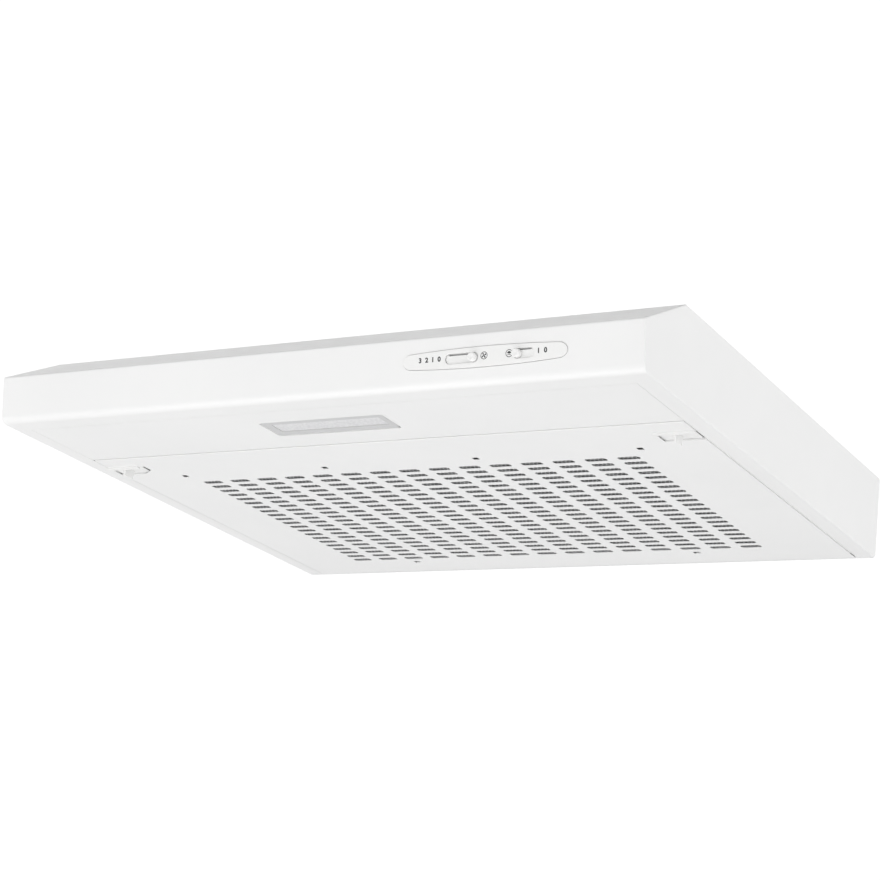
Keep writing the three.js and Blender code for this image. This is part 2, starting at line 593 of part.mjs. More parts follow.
function grillePanel() {
  const front = PANEL_SPLIT_Y + GAP;
  const low = -GRILLE_DROP;
  const plate = box(-PANEL_SIDE, PANEL_SIDE, front, GRILLE_REAR_Y, low, low + SHEET);
  const frontFlange = box(-PANEL_SIDE, PANEL_SIDE, front, front + SHEET, low + SHEET / 2, 12);
  const rearFlange = box(-245, 245, GRILLE_REAR_Y - SHEET, GRILLE_REAR_Y, low + SHEET / 2, 3);
  const perSide = [-1, 1].flatMap((side) => {
    const sideFlange = box(PANEL_SIDE - SHEET, PANEL_SIDE, front + SHEET / 2, HINGE_Y - 8,
      low + SHEET / 2, 8);
    const ear = cut(
      join(box(EAR_X - 1, EAR_X + 1, HINGE_Y - EYE_R, HINGE_Y + EYE_R, low + SHEET / 2, HINGE_Z),
        rodAlongX(EYE_R, EAR_X - 1, EAR_X + 1, HINGE_Y, HINGE_Z)),
      rodAlongX(PIN_R + GAP, EAR_X - 3, EAR_X + 3, HINGE_Y, HINGE_Z));
    return [sideFlange, ear].map((g) => mirrored(g, side));
  });
  const hooks = [
    ...CLIP_FRONT.x.flatMap((x) => clipHook(x, CLIP_FRONT.y, 1)),
    ...CLIP_REAR.x.flatMap((x) => clipHook(x, CLIP_REAR.y, -1)),
  ];
  const { half, near, far } = CLIP_HOLE;
  const holes = [
    ...CLIP_FRONT.x.map((x) => box(x - half, x + half, CLIP_FRONT.y - far, CLIP_FRONT.y + near, -3, 0.4)),
    ...CLIP_REAR.x.map((x) => box(x - half, x + half, CLIP_REAR.y - near, CLIP_REAR.y + far, -3, 0.4)),
  ];
  const windows = [[-1, 'left'], [1, 'right']].map(([side, word]) => mirrored(
    box(LATCH[word].window, HALF, LATCH.front, LATCH.rear, -3, 0.4), side));
  const boltNotches = [-1, 1].map((side) => mirrored(
    box(PANEL_SIDE - 3, HALF, LATCH.front + 1, LATCH.rear - 1, 0, 12), side));
  const folded = join(plate, frontFlange, rearFlange, ...perSide, ...hooks);
  return cut(folded, ...holes, ...windows, ...boltNotches, ...slotCutters());
}

function greaseFilter() {
  return box(-FILTER.x, FILTER.x, FILTER.front, FILTER.rear, FILTER.z0, FILTER.z1);
}

// A sprung V of wire: both ends hook in at the front, and its point at the rear.
function retainingWire(xFront1, xRear, xFront2) {
  const low = 1.6;
  const high = FILTER.z1 + 1.4;
  const front = CLIP_FRONT.y;
  const rear = CLIP_REAR.y;
  const lean = (xRear - xFront1) / (rear - front);
  const back = (xFront2 - xRear) / (rear - front);
  return tube([
    [xFront1 - 1.2 * lean, front - 1.2, low], [xFront1 + 1.5 * lean, front + 1.5, low],
    [xFront1 + 6.2 * lean, front + 6.2, high], [xFront1 + 60 * lean, front + 60, high],
    [xRear - 60 * lean, rear - 60, high], [xRear - 6.2 * lean, rear - 6.2, high],
    [xRear - 1.8, rear - 1.5, low], [xRear, rear + 1.2, low], [xRear + 1.8, rear - 1.5, low],
    [xRear + 6.2 * back, rear - 6.2, high], [xRear + 60 * back, rear - 60, high],
    [xFront2 - 60 * back, front + 60, high], [xFront2 - 6.2 * back, front + 6.2, high],
    [xFront2 - 1.5 * back, front + 1.5, low], [xFront2 + 1.2 * back, front - 1.2, low],
  ], 0.8, 2);
}

piece('grille_panel', grillePanel(), 'whitePaint');
piece('grease_filter', greaseFilter(), 'aluminium');
piece('retaining_wire_left', retainingWire(CLIP_FRONT.x[0], CLIP_REAR.x[0], CLIP_FRONT.x[1]), 'steel');
piece('retaining_wire_right', retainingWire(CLIP_FRONT.x[2], CLIP_REAR.x[1], CLIP_FRONT.x[3]), 'steel');

// ---------------------------------------------------------------- hinges at the rear

function hingeBracket() {
  const [x0, x1] = [EAR_X + 2.3, EAR_X + 4.3];
  const r = EYE_R;
  const wall = DEPTH - SHEET - GAP;
  const web = runAlongX(polygon([
    [HINGE_Y - r, HINGE_Z], [HINGE_Y - r, 20], [wall, 20],
    [wall, 12.5], [HINGE_Y + r, 12.5], [HINGE_Y + r, HINGE_Z],
  ]), x0, x1);
  const foot = box(x0, x0 + 13, wall - 1.5, wall, 12.5, 28);
  const eye = rodAlongX(r, x0, x1, HINGE_Y, HINGE_Z);
  return cut(join(web, foot, eye), rodAlongX(PIN_R + GAP, x0 - 2, x1 + 2, HINGE_Y, HINGE_Z));
}

function hingePin() {
  const [head, neck, tip] = [EAR_X - 2.8, EAR_X - 1.4, EAR_X + 7];
  const profile = [[0, head], [2.6, head], [2.6, neck], [PIN_R, neck], [PIN_R, tip], [0, tip]];
  return turnedAlongX(profile, HINGE_Y, HINGE_Z, 16);
}

for (const [side, word] of [[-1, 'left'], [1, 'right']]) {
  piece(`hinge_bracket_${word}`, mirrored(hingeBracket(), side), 'zinc');
  piece(`hinge_pin_${word}`, mirrored(hingePin(), side), 'steel');
}

// ---------------------------------------------------------------- latches at the panel's front corners

// The plastic guide on top of the panel: a floor round the window, two rails and a stop.
function latchGuide() {
  const g = GUIDE;
  const floor = box(g.inner, g.outer, g.front, g.rear, g.z0, g.floor);
  const opening = box(LATCH.opening, g.outer + 2, LATCH.front, LATCH.rear, -3, 4);
  const rails = [
    box(g.inner, g.outer, g.front, g.front + 2, 1, g.top),
    box(g.inner, g.outer, g.rear - 2, g.rear, 1, g.top),
    box(g.inner, g.outer, g.front, g.front + 4, g.top - 1.4, g.top),
    box(g.inner, g.outer, g.rear - 4, g.rear, g.top - 1.4, g.top),
  ];
  const stop = box(g.inner, g.inner + 4, g.front, g.rear, 1, g.top);
  return cut(join(floor, ...rails, stop), opening);
}

// The sliding bolt: a face plate sunk in the window, a lip that laps under the panel in front of
// it, a thumb fin, a stem, and a slider that runs between the rails and reaches over the side rim.
function latchBolt(plateInner) {
  const z0 = GUIDE.floor + GAP + 0.1;
  const z1 = z0 + 2;
  const inner = LATCH.inner;
  const outer = GUIDE.outer - 0.6;
  const [front, rear] = [LATCH.front + 0.5, LATCH.rear - 0.5];
  const slider = box(SPRING.x1 + GAP, outer, GUIDE.front + 2.4, GUIDE.rear - 2.4, z0, z1);
  const wall = box(SPRING.x1 + GAP, SPRING.x1 + 2.3, SPRING.y - 4, SPRING.y + 4, z0, 8);
  const stem = box(inner + 4, outer, front + 3, rear - 3, LATCH_PLATE.low + 0.3, z0 + 0.5);
  const facePlate = box(plateInner, outer, front, rear, LATCH_PLATE.low, LATCH_PLATE.high);
  const { y, low, high } = LATCH_LIP;
  const lip = runAlongX(polygon([[y, high], [y + 0.3, low], [front + 0.4, low], [front + 0.4, high]]),
    inner, LATCH_LIP.outer);
  const lipWall = box(inner + 4, outer, front, front + 1.3, low, LATCH_PLATE.low + 0.3);
  const bolt = box(outer - 8, LATCH.bolt, LATCH.front + 3, LATCH.rear - 3, SHEET + 0.5, z1);
  const fin = runAlongX(polygon(FIN), LATCH.fin - 1, LATCH.fin + 1);
  return join(slider, wall, stem, facePlate, lip, lipWall, bolt, fin);
}

function latchSpring() {
  const points = [];
  const stepsPerTurn = 7;
  const count = SPRING.turns * stepsPerTurn;
  for (let i = 0; i <= count; i += 1) {
    const angle = (2 * Math.PI * i) / stepsPerTurn;
    const x = SPRING.x0 + 0.6 + ((SPRING.x1 - SPRING.x0 - 1.2) * i) / count;
    points.push([x, SPRING.y + SPRING.r * Math.cos(angle), SPRING.z + SPRING.r * Math.sin(angle)]);
  }
  return tube(points, SPRING.wire, 1, 4);
}

for (const [side, word] of [[-1, 'left'], [1, 'right']]) {
  piece(`latch_guide_${word}`, mirrored(latchGuide(), side), 'whitePlastic');
  piece(`latch_${word}`, mirrored(latchBolt(LATCH[word].plate), side), 'whitePlastic');
  piece(`latch_spring_${word}`, mirrored(closed(latchSpring()), side), 'steel');
}

// ---------------------------------------------------------------- blower housing

// The volute's outline, grown outwards by w: a spiral round the fan, then a duct to the outlet.
function scrollOutline(w) {
  const begin = tongueAngle(w);
  const points = [];
  const chords = 24;
  for (let k = 0; k <= chords; k += 1) {
    const angle = begin + ((2 * Math.PI - begin) * k) / chords;
    const r = spiralRadius(angle, w);
    points.push([FAN.x + r * Math.cos(angle), FAN.y + r * Math.sin(angle)]);
  }
  const arcs = 12;
  const end = DUCT.half + w;
  for (let k = 0; k <= arcs; k += 1) {
    const angle = (Math.PI * k) / arcs;
    points.push([DUCT.x + end * Math.cos(angle), DUCT.y + end * Math.sin(angle)]);
  }
  return polygon(points);
}

function tabs(z0, z1) {
  return tabCentres().map(([x, y]) => rod(TAB.r, z0, z1, x, y, 16));
}

function tabHoles(z0, z1) {
  return tabCentres().map(([x, y]) => rod(TAB.hole, z0, z1, x, y, 12));
}

function blowerLower() {
  const z1 = SCROLL.split - GAP;
  const outer = prism(scrollOutline(SCROLL.wall), SCROLL.floor, z1);
  const inner = prism(scrollOutline(0), SCROLL.floor + SCROLL.skin, z1 + 5);
  const tub = cut(join(outer, ...tabs(z1 - 2, z1)), inner);
  const mouth = ring(FAN.inlet - 2, FAN.inlet, SCROLL.floor - 0.5, SCROLL.floor + 5, FAN.x, FAN.y, 32);
  const inlet = rod(FAN.inlet - 1, 0, 30, FAN.x, FAN.y, 32);
  return join(cut(tub, inlet, ...tabHoles(z1 - 8, z1 + 4)), mouth);
}

function blowerUpper() {
  const [z0, z1] = [SCROLL.split, SCROLL.top];
  const outer = prism(scrollOutline(SCROLL.wall), z0, z1);
  const inner = prism(scrollOutline(0), z0 - 5, z1 - SCROLL.skin);
  const lid = cut(join(outer, ...tabs(z1 - 2, z1)), inner);
  const outlet = rod(COLLAR.outer + COLLAR.clearance, z0, z1 + 4, DUCT.x, DUCT.y, 32);
  const leadHole = rod(LEAD_EXIT.r, z1 - 6, z1 + 4, LEAD_EXIT.x, LEAD_EXIT.y, 12);
  return cut(lid, outlet, leadHole, ...tabHoles(z1 - 8, z1 + 4));
}

function inletGuard() {
  const [z0, z1] = [SCROLL.floor - 2.4, SCROLL.floor - 0.8];
  const rings = [20, 40].map((r) => ring(r - 1, r + 1, z0, z1, FAN.x, FAN.y, 18));
  const rim = ring(59, 65, z0, z1, FAN.x, FAN.y, 24);
  const spokes = [0, 1].map((k) =>
    box(-60, 60, -1, 1, z0, z1).rotateZ((k * Math.PI) / 2).translate(FAN.x, FAN.y, 0));
  return join(rim, ...rings, ...spokes);
}

function blowerScrew(x, y) {
  const z = SCROLL.split - GAP - 2 - GAP;
  const tip = HEIGHT - 0.4;
  const washerHead = [[0, z - 3], [4, z - 3], [4.4, z], [SCREW_R, z], [SCREW_R, tip], [0, tip]];
  return turned(washerHead, x, y, 12);
}

piece('blower_lower', blowerLower(), 'grayPlastic');
piece('blower_upper', blowerUpper(), 'grayPlastic');
piece('inlet_guard', inletGuard(), 'grayPlastic');
tabCentres().forEach(([x, y], i) => piece(`blower_screw_${i + 1}`, blowerScrew(x, y), 'zinc'));

// ---------------------------------------------------------------- motor and fan wheel

function motorUpperShield() {
  const m = MOTOR;
  const seat = m.bearing + GAP;
  return turned([
    [4, m.z1 - m.wall], [4, m.z1], [m.r, m.z1], [m.r, m.coreZ1 + GAP], [m.r - m.wall, m.coreZ1 + GAP],
    [m.r - m.wall, m.z1 - m.wall], [seat + m.wall, m.z1 - m.wall], [seat + m.wall, m.z1 - 6],
    [seat, m.z1 - 6], [seat, m.z1 - m.wall],
  ], FAN.x, FAN.y, 20);
}

function motorLowerShield() {
  const m = MOTOR;
  const seat = m.bearing + GAP;
  return turned([
    [4, m.z0], [m.r, m.z0], [m.r, m.coreZ0 - GAP],
    [m.r - m.wall, m.coreZ0 - GAP], [m.r - m.wall, m.z0 + m.wall],
    [seat + m.wall, m.z0 + m.wall], [seat + m.wall, m.z0 + 6], [seat, m.z0 + 6], [seat, m.z0 + m.wall],
    [4, m.z0 + m.wall],
  ], FAN.x, FAN.y, 20);
}

// Forward-curved blades between a back plate and a front ring, on a cup that holds the motor.
function fanWheel() {
  const cup = turned([
    [3.3, 24], [8, 24], [8, 30], [41, 30], [44, 33], [44, 60], [FAN.bladeOuter, 60], [FAN.bladeOuter, 61.6],
    [42.4, 61.6], [42.4, 32], [3.3, 32],
  ], FAN.x, FAN.y, 28);
  const rim = ring(FAN.bladeInner, FAN.bladeOuter + 1, 19.4, 21, FAN.x, FAN.y, 28);
  const blades = [];
  for (let k = 0; k < FAN.blades; k += 1) {
    const blade = prism(polygon([[63.4, -0.6], [69.4, 0], [74.6, 3.6], [74, 4.8], [63.4, 0.8]]), 20, 61);
    blades.push(blade.rotateZ((2 * Math.PI * k) / FAN.blades).translate(FAN.x, FAN.y, 0));
  }
  return join(cup, rim, ...blades);
}

const ON_SHAFT = MOTOR.shaft + GAP;

function bearing(z0) {
  return ring(ON_SHAFT, MOTOR.bearing, z0, z0 + 3.6, FAN.x, FAN.y, 16);
}

function statorCore() {
  return ring(MOTOR.bore, MOTOR.r - 1, MOTOR.coreZ0, MOTOR.coreZ1, FAN.x, FAN.y, 24);
}

function statorWinding() {
  return ring(MOTOR.bore + 1, MOTOR.r - 4, MOTOR.coreZ1 + GAP, MOTOR.coreZ1 + 5, FAN.x, FAN.y, 24);
}

function motorRotor() {
  return ring(ON_SHAFT, MOTOR.bore - 0.5, MOTOR.coreZ0 - 1, MOTOR.coreZ1 + 1, FAN.x, FAN.y, 24);
}

piece('motor_upper_shield', motorUpperShield(), 'zinc');
piece('motor_lower_shield', motorLowerShield(), 'zinc');
piece('stator_core', statorCore(), 'steel');
piece('stator_winding', statorWinding(), 'copper');
piece('motor_bearing_upper', bearing(MOTOR.z1 - 6), 'steel');
piece('motor_bearing_lower', bearing(MOTOR.z0 + 2.3), 'steel');
piece('motor_rotor', motorRotor(), 'aluminium');
piece('motor_shaft', rod(MOTOR.shaft, 24.5, MOTOR.z1 - MOTOR.wall - GAP, FAN.x, FAN.y, 16), 'steel');
piece('fan_wheel', fanWheel(), 'grayPlastic');

// ---------------------------------------------------------------- outlet collar and non-return flaps

const COLLAR_TOP = HEIGHT + COLLAR.rise;

function outletCollar() {
  const c = COLLAR;
  const [under, over] = [SCROLL.top + 0.4, HEIGHT - SHEET - 0.4];
  const stop = FLAP.z - FLAP.thick / 2 - GAP;
  const body = turned([
    [c.inner, c.foot], [c.outer, c.foot], [c.outer, under],
    [c.outer + c.flange, under], [c.outer + c.flange, over],
    [c.outer, over], [c.outer, COLLAR_TOP - 2], [c.outer - 0.6, COLLAR_TOP], [c.inner, COLLAR_TOP],
    [c.inner, stop], [c.inner - 4, stop], [c.inner - 4, stop - 1.4], [c.inner, stop - 1.4],
  ], DUCT.x, DUCT.y, 32);
  const pivotHoles = [-1, 1].map((s) => {
    const y = DUCT.y + s * FLAP.offset;
    return rodAlongX(FLAP.pivot + GAP, DUCT.x - 70, DUCT.x + 70, y, FLAP.z, 12);
  });
  const reach = FLAP.r - 3;
  const passage = box(-reach, reach, -10, 10, stop - 4, stop + 1).translate(DUCT.x, DUCT.y, 0);
  return cut(body, ...pivotHoles, passage);
}

// A half disc with a barrel and two pivots along its straight edge; side is -1 for the front one.
function flap(side) {
  const shape = new THREE.Shape();
  const start = Math.asin((FLAP.offset + 0.5) / FLAP.r);
  shape.absarc(0, 0, FLAP.r, start, Math.PI - start, false);
  const leaf = prism(shape, FLAP.z - FLAP.thick / 2, FLAP.z + FLAP.thick / 2, 20);
  const barrel = rodAlongX(FLAP.barrel, -FLAP.barrelHalf, FLAP.barrelHalf, FLAP.offset, FLAP.z, 12);
  const pivots = rodAlongX(FLAP.pivot, -FLAP.pivotHalf, FLAP.pivotHalf, FLAP.offset, FLAP.z, 10);
  const whole = join(leaf, barrel, pivots);
  return closed((side > 0 ? whole : whole.scale(1, -1, 1)).translate(DUCT.x, DUCT.y, 0));
}

piece('outlet_collar', outletCollar(), 'blackPlastic');
piece('flap_front', flap(-1), 'blackPlastic');
piece('flap_rear', flap(1), 'blackPlastic');

// ---------------------------------------------------------------- wiring

function terminalBox() {
  const t = TERMINAL;
  const shell = box(t.x0, t.x1, t.y0, t.y1, t.z0, t.z1 - 0.2);
  const w = t.wall;
  const inside = box(t.x0 + w, t.x1 - w, t.y0 + w, t.y1 - w, t.z0 + w, t.z1 + 3);
  const holes = [
    rodAlongY(2.6, t.x0 + 20, t.y0, 60),
    rodAlongY(2.6, t.x0 + 45, t.y0, 60),
    rodAlongY(4, GLAND.x, t.y1, 60),
    rodAlongX(1.8, t.x0 - 4, t.x0 + 4, 320, 68, 12),
  ];
  return cut(shell, inside, ...holes);
}

function terminalBlock() {
  const base = box(TERMINAL.x0 + 8, TERMINAL.x1 - 8, 315, 331, TERMINAL.z0 + 1.8, 62);
  const sockets = [0, 1, 2, 3].map((k) => rod(2, 56, 66, TERMINAL.x0 + 15 + 11 * k, 323, 10));
  return cut(base, ...sockets);
}

function motorCapacitor() {
  const c = CAPACITOR;
  return box(c.x0, c.x1, c.y0, c.y1, c.z0, c.z1);
}

// The bushing for the supply cord: a neck through the top panel, and a flange under it.
function cordBushing() {
  const g = GLAND;
  const [under, over] = [HEIGHT - 2 * SHEET - 2.5, HEIGHT - SHEET - 0.3];
  return turned([
    [g.bore, under], [g.hole + 5, under], [g.hole + 5, over], [g.hole - 0.4, over],
    [g.hole - 0.4, HEIGHT + 5], [g.hole - 1.4, HEIGHT + 6], [g.bore, HEIGHT + 6],
  ], g.x, g.y, 20);
}

const LEADS = {
  supply_lead: {
    r: 3,
    points: [
      [GLAND.x, GLAND.y, 70], [GLAND.x, GLAND.y - 3, 63.5], [GLAND.x, GLAND.y - 25, 60],
      [GLAND.x, TERMINAL.y1 + 14, 60], [GLAND.x, TERMINAL.y1 - 3, 60],
    ],
  },
  switch_lead: {
    r: 2,
    points: [
      [TERMINAL.x0 + 45, TERMINAL.y0 + 3, 60], [TERMINAL.x0 + 45, TERMINAL.y0 - 12, 60],
      [206, 240, 62], [206, 120, 62], [190, 62, 50], [170, 40, 32],
    ],
  },
  lamp_lead: {
    r: 2,
    points: [
      [TERMINAL.x0 + 20, TERMINAL.y0 + 3, 60], [TERMINAL.x0 + 20, TERMINAL.y0 - 12, 60],
      [140, 240, 62], [110, 140, 58], [92, 84, 34], [84, 70, 22], [78, LENS.y, BULB.z], [70, LENS.y, BULB.z],
    ],
  },
  motor_lead: {
    r: 1.1,
    points: [
      [LEAD_EXIT.x, LEAD_EXIT.y, 68.1], [LEAD_EXIT.x, LEAD_EXIT.y, 69.4],
      [LEAD_EXIT.x + 1.6, LEAD_EXIT.y + 0.6, 70.6], [LEAD_EXIT.x + 6, LEAD_EXIT.y + 2, 70.9],
      [20, 266, 70.9], [100, 300, 70.9], [128, 316, 70.2], [142, 320, 68], [TERMINAL.x0 + 3, 320, 68],
    ],
  },
};

piece('terminal_box', terminalBox(), 'whitePlastic');
piece('terminal_block', terminalBlock(), 'whitePlastic');
piece('motor_capacitor', motorCapacitor(), 'grayPlastic');
piece('cord_bushing', cordBushing(), 'rubber');
for (const [name, lead] of Object.entries(LEADS)) {
  piece(name, tube(lead.points, lead.r, 3), 'whitePlastic');
}

export default hood;
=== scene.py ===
"""Looks of a slim under cabinet range hood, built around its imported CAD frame."""

import json
import math

import bmesh
import bpy
from mathutils import Matrix, Vector

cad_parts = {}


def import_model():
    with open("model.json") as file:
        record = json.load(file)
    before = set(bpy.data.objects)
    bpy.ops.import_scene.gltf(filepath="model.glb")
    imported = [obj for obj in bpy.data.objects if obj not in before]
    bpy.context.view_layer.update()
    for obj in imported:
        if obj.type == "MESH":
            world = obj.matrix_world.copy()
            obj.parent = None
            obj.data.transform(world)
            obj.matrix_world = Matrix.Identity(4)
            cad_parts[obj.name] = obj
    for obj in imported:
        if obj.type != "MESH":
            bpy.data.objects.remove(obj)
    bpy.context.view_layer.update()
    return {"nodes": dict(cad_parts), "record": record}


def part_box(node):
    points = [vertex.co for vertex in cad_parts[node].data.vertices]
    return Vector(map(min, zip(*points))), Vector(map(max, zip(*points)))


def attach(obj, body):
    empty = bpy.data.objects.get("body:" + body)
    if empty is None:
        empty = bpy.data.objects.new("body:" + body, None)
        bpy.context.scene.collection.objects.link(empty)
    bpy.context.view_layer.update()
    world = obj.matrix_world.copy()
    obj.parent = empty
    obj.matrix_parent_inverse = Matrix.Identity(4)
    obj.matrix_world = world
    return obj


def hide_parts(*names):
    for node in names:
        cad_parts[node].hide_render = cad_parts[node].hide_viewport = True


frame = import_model()
nodes = frame["nodes"]

# ------------------------------------------------------------------ dimensions, in millimetres
# x from the middle, y back from the front face's top edge, z up from the underside of the rim

MM = 0.001
HALF, DEPTH, HEIGHT, SHEET, GAP = 300.0, 488.0, 74.0, 1.0, 0.3
FRONT_TOP_Z, FRONT_SETBACK, SLOPE_END_Y = 38.4, 7.3, 64.7
FOOT_BEND, TOP_BEND, SIDE_BEND = 7.0, 2.3, 1.2
RIM, TOP_RIM, FRONT_RIM_Y, REAR_RIM_Y = 16.0, 14.0, 28.4, 482.6
PANEL_SIDE = HALF - RIM - GAP
PANEL_SPLIT_Y, GRILLE_DROP, GRILLE_REAR_Y = 111.3, 1.0, 480.6
HINGE_Y, HINGE_Z, PIN_R, EYE_R, EAR_X = 476.0, 4.0, 1.5, 3.2, 253.0
SLOT_COLUMNS, SLOT_ROWS, SLOT_PITCH_X, SLOT_PITCH_Y = 15, 21, 29.2, 12.55
SLOT_FIRST_Y, SLOT_LENGTH, SLOT_WIDTH, SLOT_CORNER, SLOT_SHIFT = 184.5, 19.4, 7.1, 2.6, -0.8
CLIPS_FRONT = [(x, 166.0) for x in (-222.0, -74.0, 74.0, 222.0)]
CLIPS_REAR = [(x, 450.0) for x in (-148.0, 148.0)]
# a clip hole's centre from its clip in x and y, its length and its width
HOLE_FRONT, HOLE_REAR, HOLE_CORNER = (0.9, -1.9, 5.4, 5.6), (-2.4, -0.6, 6.4, 5.6), 0.8
# a clip's hook: half its length, its wall and its tip from the clip, and the tip's two heights
CLIP_HALF, CLIP_BACK, CLIP_WALL, CLIP_TIP, CLIP_UNDER, CLIP_TOP = 3.5, 3.9, 0.5, 1.4, 3.6, 4.6
LENS_X, LENS_Y, LENS_LENGTH, LENS_WIDTH, LENS_CORNER = -6.5, 68.4, 117.4, 32.4, 2.5
LENS_LOW, LENS_TOP, LENS_POCKET, LENS_BORDER, LENS_SHORT = 0.7, 2.7, 0.5, 7.5, 1.7
PRISMS_ACROSS, PRISMS_ALONG, PRISM_HIGH = 62, 11, 0.25
BEZEL_X, BEZEL_S, BEZEL_HALF, BEZEL_HIGH, BEZEL_END_HIGH, BEZEL_END = 168.9, 21.0, 69.6, 7.7, 5.6, 64.2
BEZEL_PROUD = 0.7
FAN_SLOT = dict(x=150.1, length=28.2, width=7.7, knob=160.3, left=25.0, right=14.0)
LIGHT_SLOT = dict(x=202.4, length=17.8, width=7.5, knob=197.3, left=8.0, right=15.0)
KNOB_R, KNOB_PROUD = 3.4, 4.6
TRAY_DEPTH, SLIT_S, SLIT_WIDTH, SLIT_END = 0.5, 2.95, 1.0, 2.6
SHUTTER_HIGH, RIB_PITCH = 11, 1.5
MARKS_S, DIGIT_SIZE, FAN_ICON, LAMP_ICON, ICON_R, ICON_LINE = 21.6, 5.1, 169.5, 190.6, 2.9, 0.45
DIGITS = (("3", 114.5), ("2", 120.2), ("1", 125.5), ("0", 131.0), ("1", 215.0), ("0", 220.8))
LATCH_FRONT, LATCH_REAR = 132.8, 152.0
LATCH_WINDOW, LATCH_PLATE = {-1: 243.4, 1: 249.6}, {-1: 249.2, 1: 246.0}
LATCH_INNER, LATCH_FIN, LATCH_BOLT, LATCH_OUTER = 248.8, 266.0, 287.3, 281.8
LATCH_CUT_X, LATCH_CUT_Y = 13, 9      # the left window's cut-off corner
LIP_FRONT, LIP_OUTER, LIP_LOW, LIP_HIGH, SLIDER_LOW = 129.6, 283.6, -2.5, -1.05, 2.9
FOLD = 0.7
THIN = 0.55        # the panels' sheet shows this thick at slots and folds
GRILLE_LEFT, GRILLE_RIGHT = -PANEL_SIDE + 2.4, PANEL_SIDE + 0.15
GUIDE_FRONT, GUIDE_REAR, SPRING_END, SPRING_Y = 126.0, 159.0, 248.5, 142.4
FILTER_X, FILTER_FRONT, FILTER_REAR, FILTER_LOW, FILTER_TOP = 234.0, 171.5, 444.5, 0.35, 3.2
FINE_MESH = dict(long_way=3.7, short_way=3.5, z=0.1, width=1.15, thick=0.25, lift=0.2)
COARSE_MESH = dict(long_way=8.0, short_way=5.6, z=2.85, width=1.1, thick=0.3, lift=0.14)
COLLAR_Y, COLLAR_OUTER, COLLAR_INNER, COLLAR_FOOT, COLLAR_TOP = 405.0, 60.0, 58.0, 60.0, 112.0
COLLAR_BEADS, COLLAR_LEDGE, COLLAR_FLANGE = (84.0, 90.0, 96.0), 4, 6
FLAP_Z, FLAP_REACH = 66.0, 53.2

# ------------------------------------------------------------------ camera and light, in metres

CAMERA_LENS, CAMERA_SENSOR = 89.097, 36.0
CAMERA_PLACE = (0.9548, -1.56218, -0.59818)
CAMERA_TURN = (32.2952, -17.5225, 6.9992)      # azimuth, elevation and roll in degrees
FLOOR_Z, FLOOR_HALF = -1.5, 5.0
LIGHTS = (  # name, place, diameter, watts
    ("key", (-0.85, -1.1, -1.2), 0.3, 2.0),
    ("front", (-0.7, -2.6, -0.45), 1.4, 3.0),
    ("under", (0.0, -0.2, -1.44), 2.0, 11.8),
    ("right", (2.4, -0.7, -0.35), 1.2, 6.0),
)
LIGHTS_AIM = (0.0, 0.0, -0.05)
# how high in the sky the white ends and the dimmer top starts, and the two strengths
SKY_FROM, SKY_TO, SKY_WHITE, SKY_DIM = 0.52, 0.74, 1.09, 0.28

shell_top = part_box("canopy_shell")[1]
ORIGIN = Vector((0.0, shell_top.y - DEPTH * MM, shell_top.z - HEIGHT * MM))
DESIGN = Matrix.Translation(ORIGIN) @ Matrix.Scale(MM, 4)
LEAN = math.atan2(FRONT_SETBACK, FRONT_TOP_Z)
# on the leaning face: x along it, y up it from its foot, z out towards the front
FACE = (DESIGN @ Matrix.Translation((0, FRONT_SETBACK, 0))
        @ Matrix.Rotation(LEAN, 4, "X") @ Matrix.Rotation(math.pi / 2, 4, "X"))
# a shape drawn in y and z, run along x
ALONG_X = Matrix(((0, 0, 1, 0), (1, 0, 0, 0), (0, 1, 0, 0), (0, 0, 0, 1)))

# ------------------------------------------------------------------ camera


def make_camera():
    """The camera at the photo's angle."""
    data = bpy.data.cameras.new("camera")
    data.lens, data.sensor_width = CAMERA_LENS, CAMERA_SENSOR
    data.clip_start, data.clip_end = 0.05, 50.0
    camera = bpy.data.objects.new("camera", data)
    bpy.context.scene.collection.objects.link(camera)
    azimuth, elevation, roll = map(math.radians, CAMERA_TURN)
    forward = Vector((-math.sin(azimuth) * math.cos(elevation),
                      math.cos(azimuth) * math.cos(elevation), -math.sin(elevation)))
    right = forward.cross(Vector((0, 0, 1))).normalized()
    up = right.cross(forward)
    right, up = (right * math.cos(roll) + up * math.sin(roll),
                 up * math.cos(roll) - right * math.sin(roll))
    turn = Matrix((right, up, -forward)).transposed().to_4x4()
    camera.matrix_world = Matrix.Translation(CAMERA_PLACE) @ turn
    bpy.context.scene.camera = camera


make_camera()

# ------------------------------------------------------------------ materials


